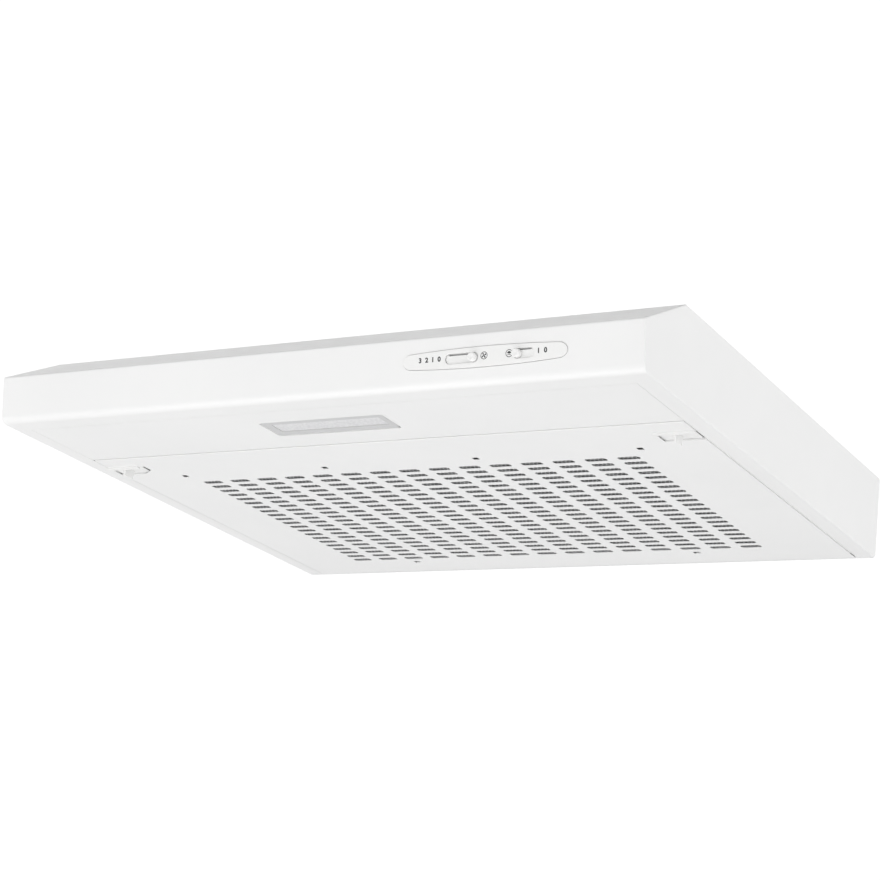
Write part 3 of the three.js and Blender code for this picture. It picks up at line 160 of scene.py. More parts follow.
class Nodes:
    """A material's node tree, with short calls for the nodes that the finishes share."""

    def __init__(self, name):
        self.material = bpy.data.materials.new(name)
        self.material.use_nodes = True
        self.tree = self.material.node_tree
        self.shader = self.tree.nodes["Principled BSDF"]
        self.place = self.tree.nodes.new("ShaderNodeTexCoord").outputs["Object"]

    def link(self, a, b):
        self.tree.links.new(a, b)

    def stretched(self, scale):
        node = self.tree.nodes.new("ShaderNodeMapping")
        node.inputs["Scale"].default_value = scale
        self.link(self.place, node.inputs["Vector"])
        return node.outputs["Vector"]

    def noise(self, scale, detail=3.0, rough=0.55, stretch=None):
        node = self.tree.nodes.new("ShaderNodeTexNoise")
        node.inputs["Scale"].default_value = scale
        node.inputs["Detail"].default_value = detail
        node.inputs["Roughness"].default_value = rough
        self.link(self.stretched(stretch) if stretch else self.place, node.inputs["Vector"])
        return node.outputs["Fac"]

    def cells(self, scale, feature="F1"):
        node = self.tree.nodes.new("ShaderNodeTexVoronoi")
        node.feature = feature
        node.inputs["Scale"].default_value = scale
        self.link(self.place, node.inputs["Vector"])
        return node.outputs["Distance"]

    def span(self, value, low, high, start=0.3, end=0.7):
        node = self.tree.nodes.new("ShaderNodeMapRange")
        for key, number in (("From Min", start), ("From Max", end), ("To Min", low), ("To Max", high)):
            node.inputs[key].default_value = number
        self.link(value, node.inputs["Value"])
        return node.outputs["Result"]

    def mix(self, factor, a, b):
        node = self.tree.nodes.new("ShaderNodeMix")
        node.data_type = "RGBA"
        self.link(factor, node.inputs[0])
        for socket, value in ((node.inputs[6], a), (node.inputs[7], b)):
            if isinstance(value, tuple):
                socket.default_value = (*value, 1.0)
            else:
                self.link(value, socket)
        return node.outputs[2]

    def bump(self, height, strength, distance, under=None):
        node = self.tree.nodes.new("ShaderNodeBump")
        node.inputs["Strength"].default_value = strength
        node.inputs["Distance"].default_value = distance
        self.link(height, node.inputs["Height"])
        if under:
            self.link(under, node.inputs["Normal"])
        return node.outputs["Normal"]

    def finish(self, colour, rough, normal, **constants):
        self.link(colour, self.shader.inputs["Base Color"])
        self.link(rough, self.shader.inputs["Roughness"])
        self.link(normal, self.shader.inputs["Normal"])
        for name, value in constants.items():
            self.shader.inputs[name.replace("_", " ")].default_value = value
        return self.material


def painted():
    """Powder coat: a soft orange peel, fine grain, and a very slight change of tone."""
    n = Nodes("white_paint")
    tone = n.span(n.noise(9.0, 4.0), 0.0, 1.0, 0.35, 0.65)
    colour = n.mix(tone, (0.858, 0.859, 0.857), (0.875, 0.875, 0.872))
    rough = n.span(n.noise(60.0), 0.29, 0.37)
    peel = n.bump(n.noise(420.0, 1.5), 0.06, 0.0004)
    normal = n.bump(n.noise(2600.0, 2.0), 0.05, 0.0002, peel)
    return n.finish(colour, rough, normal)


def moulded(name, dark, light, rough=(0.34, 0.44), grain=2200.0, strength=0.06, **constants):
    """Moulded plastic or rubber with a fine spark-eroded grain and faint flow marks."""
    n = Nodes(name)
    flow = n.span(n.noise(26.0, 4.0, stretch=(1.0, 1.0, 2.4)), 0.0, 1.0)
    colour = n.mix(flow, dark, light)
    fine = n.bump(n.noise(grain, 2.5), strength, 0.0002)
    normal = n.bump(n.cells(grain * 0.4), strength * 0.6, 0.0002, fine)
    return n.finish(colour, n.span(n.noise(140.0), *rough), normal, **constants)


def metal(name, dark, light, rough=(0.28, 0.42), stretch=(1.0, 30.0, 30.0), strength=0.05, metallic=1.0):
    """Bare metal with drawn or rolled lines along one axis, and patches of dulled tone."""
    n = Nodes(name)
    lines = n.noise(160.0, 5.0, 0.65, stretch)
    cloud = n.noise(34.0, 4.0)
    colour = n.mix(n.span(cloud, 0.0, 1.0), dark, light)
    rough = n.span(lines, *rough)
    return n.finish(colour, rough, n.bump(lines, strength, 0.0002), Metallic=metallic)


def plated(name, dark, light):
    """Zinc plate: flat crystals of slightly different tone."""
    n = Nodes(name)
    crystals = n.cells(260.0)
    colour = n.mix(n.span(crystals, 0.0, 1.0, 0.1, 0.8), dark, light)
    rough = n.span(n.noise(90.0), 0.3, 0.5)
    return n.finish(colour, rough, n.bump(crystals, 0.05, 0.0003), Metallic=1.0)


def stippled():
    """Frosted lens: rows of small prisms, and a little light lost between them."""
    n = Nodes("frosted_lens")
    prisms = n.cells(520.0, "SMOOTH_F1")
    colour = n.mix(n.span(prisms, 0.0, 1.0, 0.15, 0.65), (0.80, 0.80, 0.81), (0.69, 0.69, 0.70))
    rough = n.span(n.noise(300.0), 0.42, 0.6)
    return n.finish(colour, rough, n.bump(prisms, 0.45, 0.0006))


def fleece():
    """The dark fibre pad inside the filter."""
    n = Nodes("filter_pad")
    fibres = n.noise(900.0, 6.0, 0.8, (1.0, 2.6, 1.0))
    colour = n.mix(n.span(fibres, 0.0, 1.0), (0.028, 0.030, 0.031), (0.10, 0.103, 0.105))
    rough = n.span(n.noise(200.0), 0.8, 0.95)
    return n.finish(colour, rough, n.bump(fibres, 0.6, 0.0008))


def wound():
    """Enamelled copper wire wound in turns."""
    n = Nodes("copper_winding")
    turns = n.noise(420.0, 3.0, 0.6, (1.0, 1.0, 6.0))
    colour = n.mix(n.span(turns, 0.0, 1.0), (0.36, 0.14, 0.06), (0.62, 0.30, 0.15))
    return n.finish(colour, n.span(turns, 0.25, 0.42), n.bump(turns, 0.5, 0.0006), Metallic=0.8)


def opal():
    """Opal bulb glass, faintly uneven inside."""
    n = Nodes("bulb_glass")
    colour = n.mix(n.span(n.noise(30.0), 0.0, 1.0), (0.90, 0.89, 0.86), (0.95, 0.94, 0.92))
    normal = n.bump(n.noise(90.0), 0.04, 0.0005)
    return n.finish(colour, n.span(n.noise(60.0), 0.14, 0.22), normal)


FINISHES = {
    "white_paint": painted(),
    "white_plastic": moulded("white_plastic", (0.855, 0.855, 0.848), (0.875, 0.875, 0.868)),
    "lens_border": moulded("lens_border", (0.585, 0.587, 0.59), (0.61, 0.61, 0.615), (0.4, 0.5)),
    "frosted_lens": stippled(),
    # the shutter is white plastic; this grey is painted shade, for its place in shade behind the slit
    "shutter": moulded("shutter", (0.60, 0.605, 0.61), (0.64, 0.64, 0.645)),
    "print": moulded("print", (0.022, 0.023, 0.025), (0.040, 0.042, 0.044), (0.5, 0.6)),
    "filter_mesh": metal("filter_mesh", (0.88, 0.89, 0.90), (0.95, 0.95, 0.96), (0.4, 0.55), metallic=0.4),
    "filter_pad": fleece(),
    "bulb_glass": opal(),
    "brass": metal("brass", (0.60, 0.44, 0.18), (0.80, 0.64, 0.33)),
    "aluminium": metal("aluminium", (0.70, 0.71, 0.72), (0.82, 0.83, 0.84), (0.26, 0.4)),
    "zinc_plated": plated("zinc_plated", (0.56, 0.57, 0.58), (0.72, 0.73, 0.73)),
    "steel": metal("steel", (0.46, 0.46, 0.47), (0.62, 0.62, 0.63), (0.24, 0.38)),
    "copper_winding": wound(),
    "grey_plastic": moulded("grey_plastic", (0.20, 0.205, 0.21), (0.25, 0.255, 0.26), (0.42, 0.56)),
    "black_plastic": moulded("black_plastic", (0.022, 0.022, 0.024), (0.04, 0.04, 0.043), (0.4, 0.56)),
    "rubber": moulded("rubber", (0.016, 0.016, 0.017), (0.032, 0.032, 0.033), (0.65, 0.85), 1500.0, 0.12),
    "lead_sheath": moulded("lead_sheath", (0.56, 0.56, 0.55), (0.64, 0.64, 0.63), (0.5, 0.65)),
}

# ------------------------------------------------------------------ mesh helpers, in millimetres


def rounded_rect(x, y, length, width, corner, steps=6):
    """The outline of a rectangle with round corners, about its centre."""
    points = []
    for cx, cy, start in ((1, -1, -90), (1, 1, 0), (-1, 1, 90), (-1, -1, 180)):
        for k in range(steps + 1):
            a = math.radians(start + 90 * k / steps)
            points.append((x + cx * (length / 2 - corner) + corner * math.cos(a),
                           y + cy * (width / 2 - corner) + corner * math.sin(a)))
    return points


def circle(x, y, r, steps=48):
    """The outline of a circle."""
    return [(x + r * math.cos(2 * math.pi * k / steps), y + r * math.sin(2 * math.pi * k / steps))
            for k in range(steps)]


def bent(corners, chords=10):
    """The points of a line through corners (a, b, bend radius)."""
    out = []
    for i, (a, b, *bend) in enumerate(corners):
        here, r = Vector((a, b)), bend[0] if bend else 0.0
        if r <= 0 or i in (0, len(corners) - 1):
            out.append(here)
            continue
        back = (Vector(corners[i - 1][:2]) - here).normalized()
        on = (Vector(corners[i + 1][:2]) - here).normalized()
        half = math.acos(max(-1.0, min(1.0, back.dot(on)))) / 2
        centre = here + (back + on).normalized() * (r / math.sin(half))
        start = here + back * (r / math.tan(half)) - centre
        sweep = -math.copysign(math.pi - 2 * half, back.x * on.y - back.y * on.x)
        for k in range(chords + 1):
            out.append(centre + Matrix.Rotation(sweep * k / chords, 2) @ start)
    return out


def sheet_section(corners, thickness=SHEET, chords=10):
    """A bent sheet's section: the corners of its outer face, and its thickness to the left."""
    def left(p, q):
        d = (Vector(q[:2]) - Vector(p[:2])).normalized()
        return Vector((-d.y, d.x))
    sides = [left(p, q) for p, q in zip(corners, corners[1:])]
    inner = []
    for i, (a, b, *bend) in enumerate(corners):
        n1, n2 = sides[max(i - 1, 0)], sides[min(i, len(sides) - 1)]
        shift = (n1 + n2) * (thickness / (1 + n1.dot(n2)))
        turn = math.copysign(1.0, n1.x * n2.y - n1.y * n2.x)
        r = bend[0] if bend else 0.0
        inner.append((a + shift.x, b + shift.y, max(r - turn * thickness, 0.2) if r > 0 else 0.0))
    return bent(corners, chords) + bent(inner, chords)[::-1]


def plate(loops, z0, z1, bevel=0.15, segments=1, matrix=None):
    """A flat plate from closed loops, outlines and holes alike, with its edges rounded."""
    curve = bpy.data.curves.new("plate", "CURVE")
    curve.dimensions, curve.fill_mode = "2D", "BOTH"
    curve.extrude = (z1 - z0) / 2 - bevel
    curve.bevel_depth, curve.bevel_resolution, curve.offset = bevel, segments, -bevel
    for loop in loops:
        spline = curve.splines.new("POLY")
        spline.points.add(len(loop) - 1)
        for point, (x, y) in zip(spline.points, loop):
            point.co = (x, y, 0.0, 1.0)
        spline.use_cyclic_u = True
    mesh = evaluated(bpy.data.objects.new("plate", curve))
    mesh.transform(Matrix.Translation((0, 0, (z0 + z1) / 2)))
    if matrix:
        mesh.transform(matrix)
    return mesh


def evaluated(obj):
    """An object's final mesh. The object itself is removed."""
    bpy.context.scene.collection.objects.link(obj)
    bpy.context.view_layer.update()
    graph = bpy.context.evaluated_depsgraph_get()
    mesh = bpy.data.meshes.new_from_object(obj.evaluated_get(graph))
    bpy.data.objects.remove(obj)
    return mesh


def run_x(section, x0, x1, bevel=0.12):
    """A section drawn in y and z, run along x."""
    return plate([[(p[0], p[1]) for p in section]], x0, x1, bevel, 1, ALONG_X)


def block(x0, x1, y0, y1, z0, z1, bevel=0.2):
    """A box with its edges rounded, from its limits along x, y and z."""
    return plate([[(x0, y0), (x1, y0), (x1, y1), (x0, y1)]], z0, z1, bevel)


def turned(profile, x, y, steps=64):
    """A closed profile of (radius, height) turned about a vertical axis at x, y."""
    bm = bmesh.new()
    rings = []
    for k in range(steps):
        a = 2 * math.pi * k / steps
        rings.append([bm.verts.new((x + r * math.cos(a), y + r * math.sin(a), z)) for r, z in profile])
    for k in range(steps):
        near, far = rings[k], rings[(k + 1) % steps]
        for i in range(len(profile)):
            j = (i + 1) % len(profile)
            bm.faces.new((near[i], far[i], far[j], near[j]))
    return from_bmesh(bm)


def from_bmesh(bm):
    """A mesh from a bmesh, welded, with its faces turned outwards."""
    bmesh.ops.remove_doubles(bm, verts=bm.verts, dist=1e-4)
    bmesh.ops.dissolve_degenerate(bm, edges=bm.edges, dist=1e-5)
    bmesh.ops.recalc_face_normals(bm, faces=bm.faces)
    mesh = bpy.data.meshes.new("part")
    bm.to_mesh(mesh)
    bm.free()
    return mesh


def mirror(mesh, side):
    """The mesh itself on the right (1), or its mirror image on the left (-1)."""
    if side < 0:
        mesh.transform(Matrix.Scale(-1, 4, Vector((1, 0, 0))))
        mesh.flip_normals()
    return mesh


def shade(obj, degrees=35.0):
    """Smooth shading that stays sharp at the edges."""
    obj.data.shade_smooth()
    obj.data.set_sharp_from_angle(angle=math.radians(degrees))
    normals = obj.modifiers.new("normals", "WEIGHTED_NORMAL")
    normals.keep_sharp = True


def piece(name, meshes, body, finish, matrix=DESIGN, replaces=()):
    """One object from meshes in millimetres, put in its place, that rides on a body."""
    bm = bmesh.new()
    for mesh in meshes:
        bm.from_mesh(mesh)
        bpy.data.meshes.remove(mesh)
    bmesh.ops.remove_doubles(bm, verts=bm.verts, dist=1e-3)
    bm.transform(matrix)
    mesh = bpy.data.meshes.new(name)
    bm.to_mesh(mesh)
    bm.free()
    mesh.materials.clear()
    mesh.materials.append(FINISHES[finish])
    obj = bpy.data.objects.new(name, mesh)
    bpy.context.scene.collection.objects.link(obj)
    shade(obj)
    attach(obj, body)
    if replaces:
        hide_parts(*replaces)
    return obj


# ------------------------------------------------------------------ canopy

FRONT_CORNERS = [(FRONT_RIM_Y, 0), (FRONT_SETBACK, 0, FOOT_BEND), (0, FRONT_TOP_Z, TOP_BEND),
                 (SLOPE_END_Y, HEIGHT, TOP_BEND), (SLOPE_END_Y + TOP_RIM, HEIGHT)]


def bezel_outline(grow=0.0, steps=24):
    """A long oval with flatter long sides, drawn on the front face."""
    def quadratic(p, q, r, t):
        return p * (1 - t) ** 2 + q * 2 * t * (1 - t) + r * t * t

    def cubic(p, q, r, s, t):
        return p * (1 - t) ** 3 + q * 3 * t * (1 - t) ** 2 + r * 3 * t * t * (1 - t) + s * t ** 3
    high, end = BEZEL_HIGH + grow, BEZEL_END_HIGH + grow
    half = BEZEL_END + (BEZEL_HALF - BEZEL_END) / 0.75 + grow
    c = end * 0.62
    at = lambda x, s: Vector((BEZEL_X + x, BEZEL_S + s))
    points = []
    for sign in (-1, 1):
        a, b = at(sign * BEZEL_END, sign * end), at(-sign * BEZEL_END, sign * end)
        top = at(0, sign * (2 * high - end))
        points += [quadratic(a, top, b, k / steps) for k in range(steps)]
        e = at(-sign * BEZEL_END, -sign * end)
        points += [cubic(b, at(-sign * half, sign * c), at(-sign * half, -sign * c), e, k / 16)
                   for k in range(16)]
    return [(p.x, p.y) for p in points]


def canopy_skin():
    """The outer skin: a bent front strip, two side plates with rounded edges, and their rims."""
    rear = [(DEPTH, HEIGHT, 2), (DEPTH, 0, 4), (FRONT_RIM_Y, 0)]
    outline = bent(FRONT_CORNERS[:4] + [FRONT_CORNERS[4] + (0,)] + rear, 12)[:-1]
    split_top = next(i for i, p in enumerate(outline) if abs(p.x - FRONT_CORNERS[4][0]) < 0.01 and p.y > 1)
    # the bottom rim stops short of the rear panel's rim
    outline.append(Vector((REAR_RIM_Y - GAP, 0.0)))
    count = len(outline)
    normals = []
    for i in range(count):
        d1 = (outline[i] - outline[i - 1]).normalized()
        d2 = (outline[(i + 1) % count] - outline[i]).normalized()
        d = (d1 + d2).normalized()
        normals.append(Vector((-d.y, d.x)))
    middle = Vector((DEPTH / 2, HEIGHT / 2))
    normals = [n if n.dot(middle - p) > 0 else -n for n, p in zip(normals, outline)]
    steps = 5
    columns = []
    for side in (-1, 1):
        def column(x_of, inset):
            return [(side * x_of(p), p + n * inset) for p, n in zip(outline, normals)]
        rim = lambda p: HALF - (RIM if p.y < HEIGHT / 2 else TOP_RIM)
        strip = [column(rim, 0.0)]
        for k in range(steps + 1):
            t = math.pi / 2 * k / steps
            strip.append(column(lambda p, t=t: HALF - SIDE_BEND * (1 - math.sin(t)),
                                SIDE_BEND * (1 - math.cos(t))))
        columns.append(strip)
    bm = bmesh.new()
    made = [[[bm.verts.new((x, p.x, p.y)) for x, p in column] for column in strip] for strip in columns]
    for i in range(count):
        j = (i + 1) % count
        front = i < split_top
        top_strip = i == split_top
        bottom_strip = i == count - 1
        for strip in made:
            for k in range(len(strip) - 1):
                if k == 0 and not (front or top_strip or bottom_strip):
                    continue
                bm.faces.new((strip[k][i], strip[k + 1][i], strip[k + 1][j], strip[k][j]))
        if front:
            bm.faces.new((made[0][0][i], made[1][0][i], made[1][0][j], made[0][0][j]))
    for strip in made:
        bm.faces.new(strip[-1])
    bmesh.ops.recalc_face_normals(bm, faces=bm.faces)
    loose = [v for v in bm.verts if not v.link_faces]
    bmesh.ops.delete(bm, geom=loose, context="VERTS")
    # faces must look out of the hood
    side_face = max(bm.faces, key=lambda f: f.calc_center_median().x)
    if side_face.normal.x < 0:
        bmesh.ops.reverse_faces(bm, faces=bm.faces)
    mesh = bpy.data.meshes.new("skin")
    bm.to_mesh(mesh)
    bm.free()
    return mesh


def canopy():
    """The skin given its thickness, with the opening for the bezel cut through it."""
    obj = bpy.data.objects.new("skin", canopy_skin())
    solid = obj.modifiers.new("solid", "SOLIDIFY")
    solid.thickness, solid.offset, solid.use_even_offset = SHEET, -1.0, True
    shell = bpy.data.objects.new("shell", evaluated(obj))
    window = bpy.data.objects.new("window", plate([bezel_outline(0.35)], -6, 4, 0.01, 0))
    window.matrix_world = DESIGN.inverted() @ FACE
    bpy.context.scene.collection.objects.link(window)
    cut = shell.modifiers.new("cut", "BOOLEAN")
    cut.operation, cut.object, cut.solver = "DIFFERENCE", window, "EXACT"
    mesh = evaluated(shell)
    bpy.data.objects.remove(window)
    piece("canopy", [mesh], "hood", "white_paint", replaces=["canopy_shell"])


canopy()

# ------------------------------------------------------------------ lamp panel and lens


def lamp_panel():
    """The fixed panel under the front, folded up at its rear edge, with a pressed rim round the lens."""
    front = FRONT_RIM_Y + GAP
    bend = 0.25
    outline = [(-PANEL_SIDE, front), (PANEL_SIDE, front),
               (PANEL_SIDE, PANEL_SPLIT_Y - bend), (-PANEL_SIDE, PANEL_SPLIT_Y - bend)]
    window = rounded_rect(LENS_X, LENS_Y, LENS_LENGTH + 0.2, LENS_WIDTH + 0.2, LENS_CORNER)
    wider = rounded_rect(LENS_X, LENS_Y, LENS_LENGTH + 2, LENS_WIDTH + 2, LENS_CORNER + 1)
    sheet = plate([outline, wider], 0, SHEET, 0.1)
    fold = run_x(sheet_section([(PANEL_SPLIT_Y - bend - 0.4, 0), (PANEL_SPLIT_Y, 0, bend),
                                (PANEL_SPLIT_Y - 0.6, 14)], 0.3), -PANEL_SIDE, PANEL_SIDE)
    rim = plate([rounded_rect(LENS_X, LENS_Y, LENS_LENGTH + 5, LENS_WIDTH + 5, LENS_CORNER + 2), window],
                -0.15, SHEET + 0.1, 0.14, 2)
    tuck = run_x([(front - 10, SHEET + GAP), (front + 4, SHEET + GAP), (front + 4, 2 * SHEET + GAP),
                  (front - 10, 2 * SHEET + GAP)], -PANEL_SIDE, PANEL_SIDE)
    flanges = [mirror(block(PANEL_SIDE - SHEET, PANEL_SIDE, front + 3, PANEL_SPLIT_Y - 1.5, 0.5, 10), s)
               for s in (-1, 1)]
    piece("lamp_cover", [sheet, fold, rim, tuck, *flanges], "hood", "white_paint", replaces=["lamp_panel"])


def lens():
    """A frosted plate with a plain border round a shallow stippled pocket."""
    outer = rounded_rect(LENS_X - LENS_SHORT / 2, LENS_Y, LENS_LENGTH - LENS_SHORT, LENS_WIDTH, LENS_CORNER)
    half_x, half_y = LENS_LENGTH / 2 - LENS_BORDER, LENS_WIDTH / 2 - LENS_BORDER
    inner = rounded_rect(LENS_X, LENS_Y, 2 * half_x, 2 * half_y, 1)
    border = [plate([outer, inner], LENS_LOW, LENS_TOP, 0.1, 1)]
    for s in (-1, 1):
        end = LENS_X + s * (LENS_LENGTH / 2 - 1)
        border.append(block(end - 4, end + 4, LENS_Y - 6, LENS_Y + 6, LENS_TOP - 0.3, LENS_TOP + 0.2, 0.1))
    piece("lens_frame", border, "hood", "lens_border", replaces=["lamp_lens"])
    # small pyramids in rows across the pocket
    x0, x1 = LENS_X - half_x - 0.1, LENS_X + half_x + 0.1
    y0, y1 = LENS_Y - half_y - 0.1, LENS_Y + half_y + 0.1
    across, along = PRISMS_ACROSS, PRISMS_ALONG
    low, high, top = LENS_LOW + LENS_POCKET, PRISM_HIGH, LENS_TOP - 0.1
    bm = bmesh.new()
    grid = [[bm.verts.new((x0 + (x1 - x0) * i / across, y0 + (y1 - y0) * j / along, low + high))
             for j in range(along + 1)] for i in range(across + 1)]
    for i in range(across):
        for j in range(along):
            ring = [grid[i][j], grid[i][j + 1], grid[i + 1][j + 1], grid[i + 1][j]]
            centre = sum((v.co for v in ring), Vector()) / 4
            tip = bm.verts.new(centre - Vector((0, 0, high)))
            for a, b in zip(ring, ring[1:] + ring[:1]):
                bm.faces.new((a, b, tip))
    back = [bm.verts.new((x, y, top)) for x, y in ((x0, y0), (x0, y1), (x1, y1), (x1, y0))]
    bm.faces.new(back)
    edges = [[grid[0][j] for j in range(along + 1)], [grid[i][along] for i in range(across + 1)],
             [grid[across][j] for j in range(along, -1, -1)], [grid[i][0] for i in range(across, -1, -1)]]
    for k, edge in enumerate(edges):
        bm.faces.new([back[k]] + edge + [back[(k + 1) % 4]])
    piece("lens_prisms", [from_bmesh(bm)], "hood", "frosted_lens")


lamp_panel()
lens()

# ------------------------------------------------------------------ switches on the front face


def stadium(x, y, length, width, steps=10):
    """An outline with two straight sides and round ends."""
    return rounded_rect(x, y, length, width, width / 2 - 0.01, steps)


def bezel():
    """The oval plate with two shallow trays, each with a slit for its knob's stem."""
    both = (FAN_SLOT, LIGHT_SLOT)
    trays = [stadium(s["x"], BEZEL_S, s["length"], s["width"]) for s in both]
    slits = [rounded_rect(s["x"], BEZEL_S + SLIT_S, s["length"] - 2 * SLIT_END, SLIT_WIDTH, 0.5, 3)
             for s in both]
    plug = plate([bezel_outline(), *trays], -TRAY_DEPTH - 0.2, BEZEL_PROUD, 0.3, 3)
    rim = rounded_rect(BEZEL_X, BEZEL_S, 2 * BEZEL_HALF + 6, 2 * BEZEL_HIGH + 4, 3)
    flange = plate([rim, *slits], -SHEET - 1.5, -SHEET - GAP, 0.1)
    floors = [plate([stadium(s["x"], BEZEL_S, s["length"] - 0.5, s["width"] - 0.5), slit],
                    -SHEET - GAP - 0.1, -TRAY_DEPTH, 0.08) for s, slit in zip(both, slits)]
    piece("bezel", [plug, flange, *floors], "hood", "white_plastic", matrix=FACE,
          replaces=["control_bezel"])


def slider(name, s):
    """A domed knob with a finger dish, on a stem from the shutter that closes the slit."""
    back = SHEET + 1.5 + GAP
    low = GAP - TRAY_DEPTH
    knob = turned([
        (0.0, low), (KNOB_R - 0.2, low), (KNOB_R, low + 0.3), (KNOB_R, KNOB_PROUD - 0.9),
        (KNOB_R - 0.25, KNOB_PROUD - 0.35), (KNOB_R - 0.8, KNOB_PROUD), (KNOB_R - 1.5, KNOB_PROUD - 0.05),
        (KNOB_R - 2.4, KNOB_PROUD - 0.35), (0.0, KNOB_PROUD - 0.5)], s["knob"], BEZEL_S, 40)
    stem = plate([rounded_rect(s["knob"], BEZEL_S + SLIT_S, 1.6, 0.6, 0.2, 2)], -back - 0.4, 0.6, 0.05)
    peg = turned([(0.0, -back - 5), (1.5, -back - 5), (1.5, -back - 0.6), (0.0, -back - 0.6)],
                 s["knob"], BEZEL_S, 20)
    piece(name + "_knob", [knob, stem, peg], name, "white_plastic", matrix=FACE, replaces=[name])
    length = s["left"] + s["right"]
    strip = rounded_rect(s["knob"] + (s["right"] - s["left"]) / 2, BEZEL_S, length, SHUTTER_HIGH, 1)
    # a row of low ribs along the shutter
    first = s["knob"] - s["left"] + 2
    ribs = [plate([rounded_rect(first + k * RIB_PITCH, BEZEL_S, 0.7, SHUTTER_HIGH - 2, 0.3)],
                  -back - 0.2, -back + 0.12, 0.05)
            for k in range(int((length - 4) / RIB_PITCH) + 1)]
    # the shutter's grey finish is painted shade on white plastic
    piece(name + "_shutter", [plate([strip], -back - 1.2, -back, 0.1), *ribs], name, "shutter",
          matrix=FACE)


def digit(text, x, s):
    """One printed figure on the bezel."""
    curve = bpy.data.curves.new("digit", "FONT")
    curve.body, curve.size = text, DIGIT_SIZE
    curve.align_x = curve.align_y = "CENTER"
    curve.extrude, curve.offset = 0.03, 0.2
    mesh = evaluated(bpy.data.objects.new("digit", curve))
    mesh.transform(Matrix.Translation((x, s, BEZEL_PROUD + 0.02)))
    return mesh


def printing():
    """The figures beside both slots, and a fan and a lamp in rings."""
    s, fan, lamp = MARKS_S, FAN_ICON, LAMP_ICON
    low, high = BEZEL_PROUD - 0.01, BEZEL_PROUD + 0.05
    numbers = [digit(text, x, s) for text, x in DIGITS]
    rings = []
    for x in (fan, lamp):
        rings.append(plate([circle(x, s, ICON_R), circle(x, s, ICON_R - ICON_LINE)], low, high, 0.01, 0))
    # a propeller of four curved blades
    for k in range(4):
        turn = Matrix.Rotation(math.pi / 2 * k + 0.5, 2)
        blade = [Vector((0.2, -0.1)), Vector((0.9, -0.5)), Vector((1.9, -0.4)), Vector((2.15, 0.2)),
                 Vector((1.8, 0.7)), Vector((1.0, 0.5))]
        rings.append(plate([[tuple(turn @ p + Vector((fan, s))) for p in blade]], low, high, 0.01, 0))
    rings.append(plate([circle(fan, s, 0.45, 20)], low, high, 0.01, 0))
    # a lamp: a dome over a short neck, with two rays
    dome = [(lamp + 1.6 * math.cos(a), s + 1.6 * math.sin(a)) for a in (math.pi * k / 12 for k in range(13))]
    rings.append(plate([dome], low, high, 0.01, 0))
    rings.append(plate([rounded_rect(lamp, s - 0.7, 0.9, 0.9, 0.15)], low, high, 0.01, 0))
    for side in (-1, 1):
        ray = [(lamp + side * 0.9, s - 0.5), (lamp + side * 1.6, s - 1.3), (lamp + side * 1.3, s - 1.5),
               (lamp + side * 0.65, s - 0.6)]
        rings.append(plate([ray[::side]], low, high, 0.01, 0))
    piece("dial_marks", numbers + rings, "hood", "print", matrix=FACE)


bezel()
slider("fan_slider", FAN_SLOT)
slider("light_slider", LIGHT_SLOT)
printing()

# ------------------------------------------------------------------ grille panel


def grille_loops():
    """The panel's flat outline, notched at each latch, with its slots and clip holes."""
    y0, y1 = PANEL_SPLIT_Y + GAP + FOLD, GRILLE_REAR_Y - FOLD
    left, right, lw, rw = GRILLE_LEFT, GRILLE_RIGHT, -LATCH_WINDOW[-1], LATCH_WINDOW[1]
    f, r = LATCH_FRONT, LATCH_REAR
    outline = [(left, y0), (right, y0), (right, f), (rw, f), (rw, r), (right, r), (right, y1),
               (left, y1), (left, r), (lw - LATCH_CUT_X, r), (lw, r - LATCH_CUT_Y), (lw, f), (left, f)]
    loops = [outline]
    for column in range(SLOT_COLUMNS):
        for row in range(SLOT_ROWS):
            cx = (column - (SLOT_COLUMNS - 1) / 2) * SLOT_PITCH_X + SLOT_SHIFT
            cy = SLOT_FIRST_Y + row * SLOT_PITCH_Y
            loops.append(rounded_rect(cx, cy, SLOT_LENGTH, SLOT_WIDTH, SLOT_CORNER, 4))
    for clips, (dx, dy, length, width) in ((CLIPS_FRONT, HOLE_FRONT), (CLIPS_REAR, HOLE_REAR)):
        loops += [rounded_rect(cx + dx, cy + dy, length, width, HOLE_CORNER, 3) for cx, cy in clips]
    return loops


def clip_hook(x, y, towards):
    """A lanced hook over its clip hole, bent out of the sheet, and at the rear a lug under the hole."""
    back, tip = y - towards * CLIP_BACK, y + towards * CLIP_TIP
    outside, inside = back - towards * CLIP_WALL, back + towards * CLIP_WALL
    section = [(outside, 0.0), (inside, 0.0), (inside, CLIP_UNDER), (tip, CLIP_UNDER),
               (tip, CLIP_TOP), (outside, CLIP_TOP)]
    hook = run_x(section, x - CLIP_HALF, x + CLIP_HALF)
    if towards > 0:
        return [hook]
    lug = [(y - 0.2, -1.5), (y + 2.4, -1.5), (y + 2.4, -0.6), (y - 0.2, -0.6)]
    return [hook, run_x(lug, x - 3.6, x + 2.2, 0.3)]


